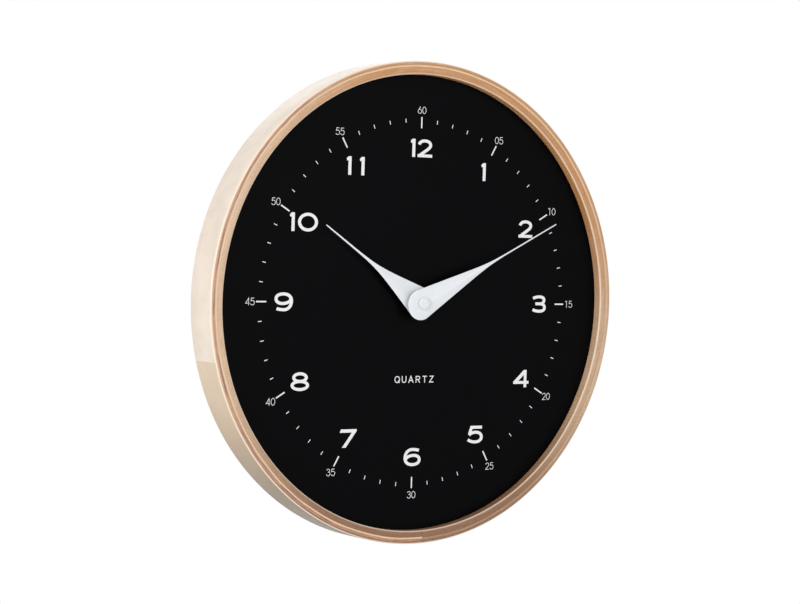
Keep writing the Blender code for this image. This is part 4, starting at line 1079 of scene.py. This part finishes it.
class CLOCK_OT_print(bpy.types.Operator):
    """Print the ticks, the numerals and the plain word on the dial"""

    bl_idname = "clock.print"
    bl_label = "Printed marks"

    # Each tick's inner end, outer end and width
    minute_tick = (149.7 * MM, 152.9 * MM, 0.64 * MM)
    hour_tick = (145.1 * MM, 154.4 * MM, 1.16 * MM)

    def execute(self, context):
        settings = context.scene.clock_dial
        ink = matte_paint("dial_ink", settings.ink, grain=3000, depth=0.006 * MM)
        thick = settings.ink_thick
        short = [6 * i for i in range(60) if i % 5]
        long = [30 * i for i in range(12)]
        pieces = {
            "minute_ticks": ticks(short, *self.minute_tick, thick),
            "hour_ticks": ticks(long, *self.hour_tick, thick),
            "hour_numerals": self.hours(settings),
            "minute_numerals": self.minutes(settings),
            "dial_word": self.word(settings),
        }
        for name, bm in pieces.items():
            finish_piece(name, bm, ink, "case", ())
        return {"FINISHED"}

    def hours(self, settings):
        figures = {}
        bm = bmesh.new()
        for hour, characters in HOUR_NUMERALS.items():
            x, z = on_dial(30 * hour, settings.hour_radius)
            for character, aside in characters:
                if character not in figures:
                    figures[character] = to_mesh(bold_figure(character, settings.ink_thick))
                add_copy(bm, figures[character], figure_place(x + aside * MM, z))
        return bm

    def minutes(self, settings):
        figures = {}
        for character in "0123456":
            figures[character] = to_mesh(figure(THIN_STROKES.get(character, ()),
                                                THIN_LOOPS.get(character, ()), THIN_NIB,
                                                settings.ink_thick))
        bm = bmesh.new()
        for number, characters in enumerate(MINUTE_NUMERALS):
            x, z = on_dial(30 * number, settings.minute_radius)
            for character, side in zip(characters, (-0.5, 0.5)):
                add_copy(bm, figures[character], figure_place(x + side * FIGURE_PITCH * MM, z))
        return bm

    def word(self, settings):
        bm = bmesh.new()
        for place, letter in enumerate(WORD):
            mesh = to_mesh(figure(WORD_STROKES[letter], WORD_LOOPS.get(letter, ()), WORD_NIB,
                                  settings.ink_thick))
            x = (place - (len(WORD) - 1) / 2) * WORD_PITCH * MM
            add_copy(bm, mesh, figure_place(x, WORD_Z * MM))
        return bm


class CLOCK_OT_hands(bpy.types.Operator):
    """Stamp the two painted hands and turn the cap that covers the arbor"""

    bl_idname = "clock.hands"
    bl_label = "Hands"

    minute = {"length": 153 * MM, "boss_r": 12.7 * MM, "ahead": -2.6 * MM, "slope": 0.154,
              "knee": 76 * MM, "blend": 7 * MM, "root": 0.62 * MM, "tip": 0.48 * MM}
    hour = {"length": 113 * MM, "boss_r": 12.8 * MM, "ahead": 1.6 * MM, "slope": 0.233,
            "knee": 52.7 * MM, "blend": 7.5 * MM, "root": 1.25 * MM, "tip": 0.46 * MM}
    minute_hole = 1.5 * MM
    hour_hole = 2.7 * MM

    def execute(self, context):
        settings = context.scene.clock_hands
        paint = matte_paint("hand_paint", settings.white, grain=1600, depth=0.012 * MM, variation=0.012)
        minute = self.blade(self.minute, self.minute_hole, MINUTE_HAND_Y, settings)
        hour = self.blade(self.hour, self.hour_hole, HOUR_HAND_Y, settings)
        finish_piece("minute_hand_blade", turn_about_axis(minute, settings.minute_angle), paint, "minute",
                     ["minute_hand"])
        finish_piece("hour_hand_blade", turn_about_axis(hour, settings.hour_angle), paint, "hour",
                     ["hour_hand"])
        self.cap(paint)
        return {"FINISHED"}

    def half_width(self, hand, along):
        needle = hand["root"] + (hand["tip"] - hand["root"]) * along / hand["length"]
        reach = (hand["knee"] - along) / hand["blend"]
        return needle + hand["slope"] * hand["blend"] * math.log1p(math.exp(reach))

    def outline(self, hand, flank_steps=60, boss_steps=64):
        """A teardrop: straight flanks that run into a needle, tangent to a round boss."""
        lean = math.atan(hand["slope"])
        start = hand["boss_r"] * math.sin(lean) + hand["ahead"]
        end = hand["length"] - hand["tip"]
        side = []
        for i in range(flank_steps + 1):
            along = start + (end - start) * i / flank_steps
            side.append((self.half_width(hand, along), along))
        side[0] = (hand["boss_r"] * math.cos(lean), start)
        tip = [(hand["tip"] / 2, hand["length"]), (-hand["tip"] / 2, hand["length"])]
        boss = arc((0, hand["ahead"]), hand["boss_r"], 180 - math.degrees(lean),
                   360 + math.degrees(lean), boss_steps)[1:-1]
        return side + tip + [(-x, z) for x, z in reversed(side)] + boss

    def blade(self, hand, hole_r, y, settings):
        sheet = plate(self.outline(hand), y, y + settings.thick, [circle(hole_r)])
        return soften(sheet, settings.edge, sharp=60)

    def cap(self, paint):
        radius = CAP_HIGH.x
        front, base = CAP_LOW.y, CAP_HIGH.y
        edge = 0.55 * MM
        crown = 0.08 * MM
        wall = 0.5 * MM
        profile = [(0, front), (radius * 0.5, front + crown / 4), (radius - edge, front + crown)]
        profile += arc((radius - edge, front + crown + edge), edge, 290, 360, 5)
        profile += [(radius, base - wall / 2), (radius - wall / 4, base), (radius / 3, base),
                    (radius / 3, base - wall), (0, base - wall)]
        finish_piece("hub_cap_cover", spun(profile, 96), paint, "minute", ["hub_cap"],
                     smooth_angle=50)


class CLOCK_OT_clamping(bpy.types.Operator):
    """Make the washer, nut, bush and collet behind the hands"""

    bl_idname = "clock.clamping"
    bl_label = "Clamping"

    edge = 0.15 * MM
    pitch = 0.5 * MM

    def execute(self, context):
        bore = BUSH_HOLE_R
        self.rounded_ring("washer", "brass_washer", bore, "case", (0.72, 0.55, 0.26))
        self.rounded_ring("collet", "hour_hand_collet", 2.8 * MM, "hour", (0.70, 0.52, 0.24))
        self.nut(bore)
        self.bush()
        repaint("minute_arbor", turned_metal("arbor_brass", (0.72, 0.54, 0.25), "minute_arbor"))
        return {"FINISHED"}

    def rounded_ring(self, name, node, bore, body, colour):
        low, high = local_box(node)
        outer = high.x
        profile = [(bore, low.y), (outer - self.edge, low.y), (outer, low.y + self.edge),
                   (outer, high.y - self.edge), (outer - self.edge, high.y), (bore, high.y)]
        metal = turned_metal(name + "_brass", colour, node)
        finish_piece(name, spun(profile, 96, closed=True), metal, body, [node])

    def nut(self, bore):
        low, high = local_box("hex_nut")
        corner_r = high.x - 0.05 * MM
        chamfer = corner_r * (1 - math.cos(math.pi / 6))
        flat_r = corner_r - chamfer
        ring = spun([(bore, low.y), (flat_r, low.y), (corner_r, low.y + chamfer / 2),
                     (corner_r, high.y - chamfer / 2), (flat_r, high.y), (bore, high.y)], 96, closed=True)
        hexagon = plate(circle(high.x, 6), low.y - GAP, high.y + GAP)
        nut = combine(ring, [hexagon], "INTERSECT")
        metal = turned_metal("nut_brass", (0.74, 0.57, 0.27), "hex_nut", rings=3600)
        finish_piece("nut", nut, metal, "case", ["hex_nut"])

    def bush(self):
        low, high = local_box("threaded_bush")
        bore, outer, flange_r, thick = 2.8 * MM, 3.8 * MM, high.x, 0.7 * MM
        flange_y = local_box("movement_case")[0].y - GAP - thick
        depth = self.pitch / 4
        profile = [(bore, low.y), (outer - depth, low.y)]
        turns = int((flange_y - low.y) / self.pitch)
        for i in range(turns):
            y = low.y + i * self.pitch
            profile += [(outer, y + self.pitch * 0.35), (outer - depth, y + self.pitch * 0.85)]
        profile += [(outer - depth, flange_y), (flange_r, flange_y), (flange_r, flange_y + thick),
                    (outer, flange_y + thick), (outer, high.y), (bore, high.y)]
        metal = turned_metal("bush_brass", (0.70, 0.53, 0.25), "threaded_bush")
        finish_piece("bush", spun(profile, 72, closed=True), metal, "case", ["threaded_bush"])


def folded_strip(path, half_x, thick, bend):
    """A steel strip along a path of (y, z) corners, folded with round bends and extruded along X."""
    middle = [Vector(point) for point in path]
    line = [middle[0]]
    for before, corner, after in zip(middle, middle[1:], middle[2:]):
        into = (corner - before).normalized()
        out = (after - corner).normalized()
        start = corner - into * bend
        for i in range(7):
            t = i / 6
            line.append(start * (1 - t) ** 2 + corner * 2 * t * (1 - t) + (corner + out * bend) * t ** 2)
    line.append(middle[-1])
    outline = ribbon(line, (thick / 2, thick / 2))
    bm = bmesh.new()
    verts = [bm.verts.new((-half_x, y, z)) for y, z in outline]
    face = bm.faces.new(verts)
    raised = bmesh.ops.extrude_face_region(bm, geom=[face])
    far = [item for item in raised["geom"] if isinstance(item, bmesh.types.BMVert)]
    bmesh.ops.translate(bm, vec=(2 * half_x, 0, 0), verts=far)
    bmesh.ops.recalc_face_normals(bm, faces=bm.faces)
    return bm


class CLOCK_OT_hanger(bpy.types.Operator):
    """Fold the steel hanger strip and cut its keyhole"""

    bl_idname = "clock.hanger"
    bl_label = "Hanger"

    slot_r = 2.5 * MM
    eye_r = 4.5 * MM
    travel = 5.5 * MM
    corner = 4 * MM
    edge = 0.12 * MM

    def execute(self, context):
        settings = context.scene.clock_movement
        half = HANGER_HIGH.x
        front_y = HANGER_LOW.y + STRIP_THICK / 2
        rear_y = HANGER_HIGH.y - STRIP_THICK / 2
        shelf_z = COVER_HIGH.z + 1.7 * MM + STRIP_THICK / 2
        path = [(front_y, HANGER_LOW.z), (front_y, shelf_z), (rear_y, shelf_z), (rear_y, HANGER_HIGH.z)]
        strip = folded_strip(path, half, STRIP_THICK, settings.bend + STRIP_THICK)
        end_z = -ORIGIN.z - self.slot_r
        eye_z = end_z - self.travel
        y0, y1 = HANGER_HIGH.y - 3 * STRIP_THICK, HANGER_HIGH.y + STRIP_THICK
        eye = plate(circle(self.eye_r, 64, 0, eye_z), y0, y1)
        slot = plate([(-self.slot_r, eye_z)] + arc((0, end_z), self.slot_r, 180, 0, 24)
                     + [(self.slot_r, eye_z)], y0 - GAP, y1 + GAP)
        bush = plate(circle(BUSH_HOLE_R, 64), HANGER_LOW.y - GAP, HANGER_LOW.y + 2 * STRIP_THICK)
        strip = cut(strip, eye, slot, bush)
        strip = combine(strip, [self.trim(half)], "INTERSECT")
        rib = self.rib(rear_y, shelf_z)
        strip = soften(join(strip, rib), self.edge, sharp=50)
        finish_piece("hanger_strip", strip, zinc_plate("hanger_zinc"), "case", ["hanger_plate"])
        return {"FINISHED"}

    def trim(self, half):
        """A rounded outline that gives the strip's two ends their round corners."""
        return plate(rounded_rectangle(-half, half, HANGER_LOW.z, HANGER_HIGH.z, self.corner),
                     HANGER_LOW.y - GAP, HANGER_HIGH.y + GAP)

    def rib(self, rear_y, shelf_z):
        """A pressed gusset that stiffens the upper fold."""
        low, high = rear_y - 2.2 * MM, rear_y
        bm = plate([(low, shelf_z), (high, shelf_z), (high, shelf_z + 2.2 * MM)], -0.8 * MM, 0.8 * MM)
        bmesh.ops.rotate(bm, cent=(0, 0, 0), matrix=Matrix.Rotation(math.pi / 2, 3, "Z"),
                         verts=bm.verts)
        return bm


class CLOCK_OT_clips(bpy.types.Operator):
    """Fold the four clips that hold the dial, and make their screws"""

    bl_idname = "clock.clips"
    bl_label = "Dial clips"

    half = 6 * MM
    leg = 10 * MM
    foot = 9 * MM
    hole_rise = 6 * MM
    hole_r = 1.3 * MM
    head_r = 2.4 * MM
    head_thick = 1.2 * MM
    shank_r = 1.0 * MM
    shank = 5.5 * MM

    def execute(self, context):
        settings = context.scene.clock_movement
        zinc = zinc_plate("clip_zinc")
        screw_zinc = zinc_plate("screw_zinc", (0.66, 0.65, 0.60))
        back = DIAL_HIGH.y + GAP
        for number, angle in enumerate(CLIP_ANGLES, 1):
            turn = Matrix.Rotation(-math.radians(angle), 4, "Y")
            clip = self.clip(back, settings)
            bmesh.ops.transform(clip, matrix=turn, verts=clip.verts)
            finish_piece(f"clip_{number}", clip, zinc, "case", [f"dial_clip_{number}"])
            screw = self.screw(back)
            bmesh.ops.transform(screw, matrix=turn, verts=screw.verts)
            finish_piece(f"screw_{number}", screw, screw_zinc, "case", [f"clip_screw_{number}"])
        return {"FINISHED"}

    def clip(self, back, settings):
        """One clip at 3 o'clock: its foot on the dial's back, its leg along the hoop's wall."""
        outer = DIAL_R - STRIP_THICK / 2
        inner = DIAL_R - self.foot
        y = back + STRIP_THICK / 2
        strip = folded_strip([(y, inner), (y, outer), (back + self.leg, outer)], self.half, STRIP_THICK,
                             settings.bend + STRIP_THICK)
        bmesh.ops.rotate(strip, cent=(0, 0, 0), matrix=Matrix.Rotation(math.pi / 2, 3, "Y"),
                         verts=strip.verts)
        hole = spun([(0, -2 * STRIP_THICK), (self.hole_r, -2 * STRIP_THICK),
                     (self.hole_r, 2 * STRIP_THICK), (0, 2 * STRIP_THICK)], 32)
        self.lay(hole, DIAL_R, back)
        return soften(cut(strip, hole), 0.1 * MM, sharp=50)

    def screw(self, back):
        """A pan-head screw with a cross recess, pointing outwards."""
        head, r = self.head_thick, self.head_r
        profile = [(0, -head), (r * 0.55, -head)]
        profile += [(r * 0.85, -head * 0.8), (r, -head * 0.35), (r, 0), (self.shank_r, 0)]
        turns = 9
        pitch = (self.shank - 1.0 * MM) / turns
        for i in range(turns):
            profile += [(self.shank_r * 0.8, (i + 0.5) * pitch), (self.shank_r, (i + 1) * pitch)]
        profile += [(0, self.shank)]
        arms = [block(-r * 0.6, r * 0.6, -head - GAP, -head * 0.35, -0.25 * MM, 0.25 * MM),
                block(-0.25 * MM, 0.25 * MM, -head - GAP, -head * 0.35, -r * 0.6, r * 0.6)]
        screw = cut(spun(profile, 40), *arms)
        shift(screw, y=-GAP)
        self.lay(screw, DIAL_R - STRIP_THICK, back)
        return screw

    def lay(self, bm, radius, back):
        """Turn a piece drawn along Y so that it points along X, at the clip's hole."""
        bmesh.ops.rotate(bm, cent=(0, 0, 0), matrix=Matrix.Rotation(-math.pi / 2, 3, "Z"), verts=bm.verts)
        shift(bm, x=radius, y=back + self.hole_rise)


class CLOCK_OT_movement(bpy.types.Operator):
    """Mould the movement's cover with its marks, and the setting knob"""

    bl_idname = "clock.movement"
    bl_label = "Movement"

    corner = 3 * MM
    ledge = 1.6 * MM
    bay_corner = 0.8 * MM
    shaft_hole_r = 1.7 * MM
    panel_deep = 0.5 * MM
    panel_corner = 1.5 * MM
    well_r = 7 * MM
    groove_deep = 0.8 * MM
    vent_pitch = 2.2
    mark_high = 0.3 * MM
    sign_inset = 3.5 * MM
    bar_long = 1.4 * MM
    bar_thin = 0.3 * MM
    flute_deep = 0.35 * MM
    knob_bore = 1.3 * MM
    knob_bore_deep = 1.1 * MM
    knob_edge = 0.12 * MM

    def execute(self, context):
        settings = context.scene.clock_movement
        plastic = moulded_plastic("movement_abs", settings.plastic)
        case_plastic = moulded_plastic("case_abs", shade(settings.plastic, 1.1), roughness=0.46)
        cover = self.cover(settings)
        finish_piece("movement_back_cover", cover, plastic, "case", ["movement_cover"])
        marks = self.marks()
        finish_piece("cover_marks", marks, case_plastic, "case", ())
        knob = self.knob(settings)
        finish_piece("fluted_knob", knob, moulded_plastic("knob_abs", shade(settings.plastic, 1.3),
                     roughness=0.42), "setting", ["setting_knob"])
        repaint("movement_case", case_plastic)
        repaint("rubber_gasket", rubber("gasket_rubber"))
        return {"FINISHED"}

    def bay(self):
        """The battery bay's opening in the cover: (x0, x1, z0, z1)."""
        inner = COVER_HIGH.x - self.ledge
        return (-inner, inner, -inner, CELL_HIGH.z + 0.1 * MM)

    def cover(self, settings):
        half = COVER_HIGH.x
        y0, y1 = COVER_LOW.y, COVER_HIGH.y
        knob = centre_of("setting_knob") - ORIGIN
        outline = rounded_rectangle(-half, half, -half, half, self.corner)
        bay = rounded_rectangle(*self.bay(), self.bay_corner)
        shaft = circle(self.shaft_hole_r, 32, knob.x, knob.z)
        cover = plate(outline, y0, y1, [bay, shaft])
        x0, x1, _, bay_top = self.bay()
        panel_y = y1 - self.panel_deep
        groove_y = y1 - self.groove_deep
        panel = plate(rounded_rectangle(x0 + 20 * MM, x1 - 1 * MM, bay_top + 4 * MM, half - 3 * MM,
                                        self.panel_corner), panel_y, y1 + GAP)
        well = shift(spun([(0, panel_y), (self.well_r, panel_y), (self.well_r, y1 + GAP),
                           (0, y1 + GAP)], 72), x=knob.x, z=knob.z)
        notch = plate(rounded_rectangle(-5 * MM, 5 * MM, bay_top - 1 * MM, bay_top + 2.2 * MM, 1 * MM),
                      groove_y, y1 + GAP)
        vents = [block(x1 - (6 + self.vent_pitch * i) * MM, x1 - (5 + self.vent_pitch * i) * MM,
                       groove_y, y1 + GAP, half - 9 * MM, half - 5 * MM) for i in range(4)]
        lugs = [block(side * (half - 1.2 * MM) - 0.6 * MM, side * (half - 1.2 * MM) + 0.6 * MM,
                      y1 - 0.7 * MM, y1 + GAP, z - 2 * MM, z + 2 * MM)
                for side in (-1, 1) for z in (2 * MM, 20 * MM)]
        return soften(cut(cover, panel, well, notch, *vents, *lugs), settings.cover_edge / 2, sharp=40)

    def marks(self):
        """Raised polarity signs by the bay's ends, and two arrows round the setting knob."""
        y0, y1 = COVER_HIGH.y - 0.02 * MM, COVER_HIGH.y + self.mark_high
        knob = centre_of("setting_knob") - ORIGIN
        x0, x1, _, bay_top = self.bay()
        z = bay_top + 2.2 * MM
        bm = bmesh.new()
        plus_x = x1 - self.sign_inset
        minus_x = x0 + self.sign_inset
        bars = [(plus_x, self.bar_long, self.bar_thin), (plus_x, self.bar_thin, self.bar_long),
                (minus_x, self.bar_long, self.bar_thin)]
        plus = join(*[block(x - wide, x + wide, y0, y1, z - high, z + high)
                      for x, wide, high in bars[:2]])
        add_copy(bm, to_mesh(plus), Matrix.Identity(4))
        x, wide, high = bars[2]
        add_copy(bm, to_mesh(block(x - wide, x + wide, y0, y1, z - high, z + high)), Matrix.Identity(4))
        for start in (20, 200):
            arrow = join(plate(self.arc_band(knob, 8.2 * MM, 8.9 * MM, start, start + 95), y0, y1),
                         plate(self.arrow_head(knob, 8.55 * MM, start + 95), y0, y1))
            add_copy(bm, to_mesh(arrow), Matrix.Identity(4))
        return bm

    def arc_band(self, centre, inner, outer, start, end):
        middle = (centre.x, centre.z)
        return arc(middle, inner, start, end, 24) + arc(middle, outer, end, start, 24)

    def arrow_head(self, centre, radius, angle):
        turn = math.radians(angle)
        tip = math.radians(angle + 14)
        side = 1.2 * MM
        points = [(centre.x + (radius + s) * math.cos(turn), centre.z + (radius + s) * math.sin(turn))
                  for s in (-side, side)]
        return points + [(centre.x + radius * math.cos(tip), centre.z + radius * math.sin(tip))]

    def knob(self, settings):
        low, high = KNOB_LOW, KNOB_HIGH
        centre = centre_of("setting_knob") - ORIGIN
        radius = (high.x - low.x) / 2
        outline = []
        steps = 4 * settings.flutes
        for i in range(steps):
            turn = 2 * math.pi * i / steps
            r = radius - self.flute_deep * (0.5 - 0.5 * math.cos(settings.flutes * turn))
            outline.append((r * math.cos(turn), r * math.sin(turn)))
        knob = plate(outline, low.y, high.y)
        dish = spun([(0, high.y - 0.5 * MM), (radius - 1.6 * MM, high.y - 0.35 * MM),
                     (radius - 1.2 * MM, high.y + GAP), (0, high.y + GAP)], 64)
        bore_y = low.y + self.knob_bore_deep
        bore = spun([(0, low.y - GAP), (self.knob_bore, low.y - GAP), (self.knob_bore, bore_y),
                     (0, bore_y)], 32)
        knob = soften(cut(knob, dish, bore), self.knob_edge, sharp=50)
        return shift(knob, x=centre.x, z=centre.z)


class CLOCK_OT_battery(bpy.types.Operator):
    """Make the AA cell in its film jacket, with its steel ends, and finish its contacts"""

    bl_idname = "clock.battery"
    bl_label = "Battery"

    film = 0.12 * MM
    film_edge = 0.7 * MM
    film_lap = 2.2 * MM
    film_wall = 1.2 * MM
    nub = 1.3 * MM
    nub_r = 2.75 * MM

    def execute(self, context):
        settings = context.scene.clock_movement
        radius = (CELL_HIGH.z - CELL_LOW.z) / 2
        nub = self.nub
        nub_r = self.nub_r
        x0, x1 = CELL_LOW.x, CELL_HIGH.x - nub
        length = x1 - x0
        edge = self.film_edge
        wrap = self.film
        lap_r = radius - self.film_lap
        inside_r = radius - self.film_wall
        jacket = [(lap_r, wrap), (radius - edge, 0)]
        jacket += arc((radius - edge, edge), edge, 290, 360, 4)
        jacket += arc((radius - edge, length - edge), edge, 0, 70, 4)
        jacket += [(radius - edge, length), (lap_r, length - wrap), (lap_r, length - 0.5 * MM),
                   (inside_r, length - 1.2 * MM), (inside_r, 1.2 * MM), (lap_r, 0.5 * MM)]
        self.lay("cell_jacket", spun(jacket, 96, closed=True), cell_film(settings), ["aa_cell"])
        steel = zinc_plate("cell_steel", (0.66, 0.67, 0.69))
        inner = radius - 2.0 * MM
        top = [(0, length - 1.0 * MM), (inner, length - 1.0 * MM), (inner, length - 0.15 * MM),
               (nub_r + 0.9 * MM, length - 0.15 * MM), (nub_r + 0.6 * MM, length - 0.45 * MM),
               (nub_r + 0.15 * MM, length - 0.45 * MM), (nub_r, length - 0.2 * MM),
               (nub_r, length + nub - 0.35 * MM)]
        top += [(nub_r - 0.35 * MM, length + nub), (0, length + nub)]
        self.lay("cell_positive_end", spun(top, 64), steel)
        base = [(0, 0.35 * MM), (inner - 2.6 * MM, 0.35 * MM), (inner - 2.2 * MM, 0.08 * MM),
                (inner - 0.4 * MM, 0.08 * MM), (inner, 0.4 * MM), (inner, 1.0 * MM), (0, 1.0 * MM)]
        self.lay("cell_negative_end", spun(base, 64), steel)
        spring = zinc_plate("contact_nickel", (0.70, 0.68, 0.62))
        repaint("positive_contact", spring)
        repaint("negative_contact", spring)
        return {"FINISHED"}

    def lay(self, name, bm, material, nodes=()):
        """Turn a piece drawn along Y so that it lies along X in the bay."""
        bmesh.ops.rotate(bm, cent=(0, 0, 0), matrix=Matrix.Rotation(-math.pi / 2, 3, "Z"), verts=bm.verts)
        centre = centre_of("aa_cell") - ORIGIN
        shift(bm, x=CELL_LOW.x, y=centre.y, z=centre.z)
        finish_piece(name, bm, material, "cell", nodes)


class CLOCK_OT_works(bpy.types.Operator):
    """Give the train, the motor and the circuit inside the movement their finishes"""

    bl_idname = "clock.works"
    bl_label = "Works"

    def execute(self, context):
        acetal = (0.80, 0.79, 0.74)
        moulded = {
            "motion_wheel": acetal, "hour_wheel": (0.74, 0.72, 0.62), "third_wheel": acetal,
            "seconds_wheel": (0.78, 0.74, 0.60), "intermediate_wheel": acetal,
            "setting_pinion": acetal, "rotor_pinion": (0.70, 0.70, 0.68),
            "train_plate": (0.76, 0.76, 0.74), "coil_bobbin": (0.82, 0.81, 0.78),
        }
        for node, colour in moulded.items():
            repaint(node, moulded_plastic(node + "_acetal", colour, roughness=0.38, grain=3500,
                                          depth=0.01 * MM))
        repaint("centre_wheel", turned_metal("centre_wheel_brass", (0.74, 0.56, 0.26), "centre_wheel"))
        steel = zinc_plate("motor_steel", (0.52, 0.53, 0.55))
        for node in ("stator", "coil_core", "quartz_crystal"):
            repaint(node, steel)
        repaint("coil_winding", wound_wire("winding_copper", (0.72, 0.30, 0.14)))
        repaint("circuit_board", circuit_laminate("board_laminate", (0.030, 0.160, 0.070)))
        repaint("chip_blob", rubber("chip_epoxy", (0.012, 0.012, 0.013)))
        repaint("rotor_magnet", ferrite("rotor_ferrite"))
        return {"FINISHED"}


class CLOCK_PT_panel(bpy.types.Panel):
    """Settings and build steps of the wall clock"""

    bl_idname = "CLOCK_PT_panel"
    bl_label = "Wall clock"
    bl_space_type = "VIEW_3D"
    bl_region_type = "UI"
    bl_category = "Clock"

    def draw(self, context):
        layout = self.layout
        for title, owner, names, operators in PANEL_ROWS:
            box = layout.box()
            box.label(text=title)
            for name in names:
                box.prop(getattr(context.scene, owner), name)
            for operator in operators:
                box.operator(operator)


STEPS = (CLOCK_OT_stage, CLOCK_OT_hoop, CLOCK_OT_dial, CLOCK_OT_print, CLOCK_OT_hands,
         CLOCK_OT_clamping, CLOCK_OT_hanger, CLOCK_OT_clips, CLOCK_OT_movement, CLOCK_OT_battery,
         CLOCK_OT_works)
SETTINGS = {
    "clock_stage": StageSettings,
    "clock_hoop": HoopSettings,
    "clock_dial": DialSettings,
    "clock_hands": HandSettings,
    "clock_movement": MovementSettings,
}
PANEL_ROWS = (
    ("Stage", "clock_stage", tuple(StageSettings.__annotations__), ("clock.stage",)),
    ("Hoop", "clock_hoop", tuple(HoopSettings.__annotations__), ("clock.hoop",)),
    ("Dial", "clock_dial", tuple(DialSettings.__annotations__), ("clock.dial", "clock.print")),
    ("Hands", "clock_hands", tuple(HandSettings.__annotations__), ("clock.hands", "clock.clamping")),
    ("Movement", "clock_movement", tuple(MovementSettings.__annotations__),
     ("clock.hanger", "clock.clips", "clock.movement", "clock.battery", "clock.works")),
)


def register():
    for settings in SETTINGS.values():
        bpy.utils.register_class(settings)
    for operator in STEPS:
        bpy.utils.register_class(operator)
    bpy.utils.register_class(CLOCK_PT_panel)
    for name, settings in SETTINGS.items():
        setattr(bpy.types.Scene, name, bpy.props.PointerProperty(type=settings))


def unregister():
    for name in SETTINGS:
        delattr(bpy.types.Scene, name)
    bpy.utils.unregister_class(CLOCK_PT_panel)
    for operator in reversed(STEPS):
        bpy.utils.unregister_class(operator)
    for settings in SETTINGS.values():
        bpy.utils.unregister_class(settings)


def main():
    register()
    for step in STEPS:
        group, name = step.bl_idname.split(".")
        getattr(getattr(bpy.ops, group), name)()


if __name__ == "__main__":
    main()
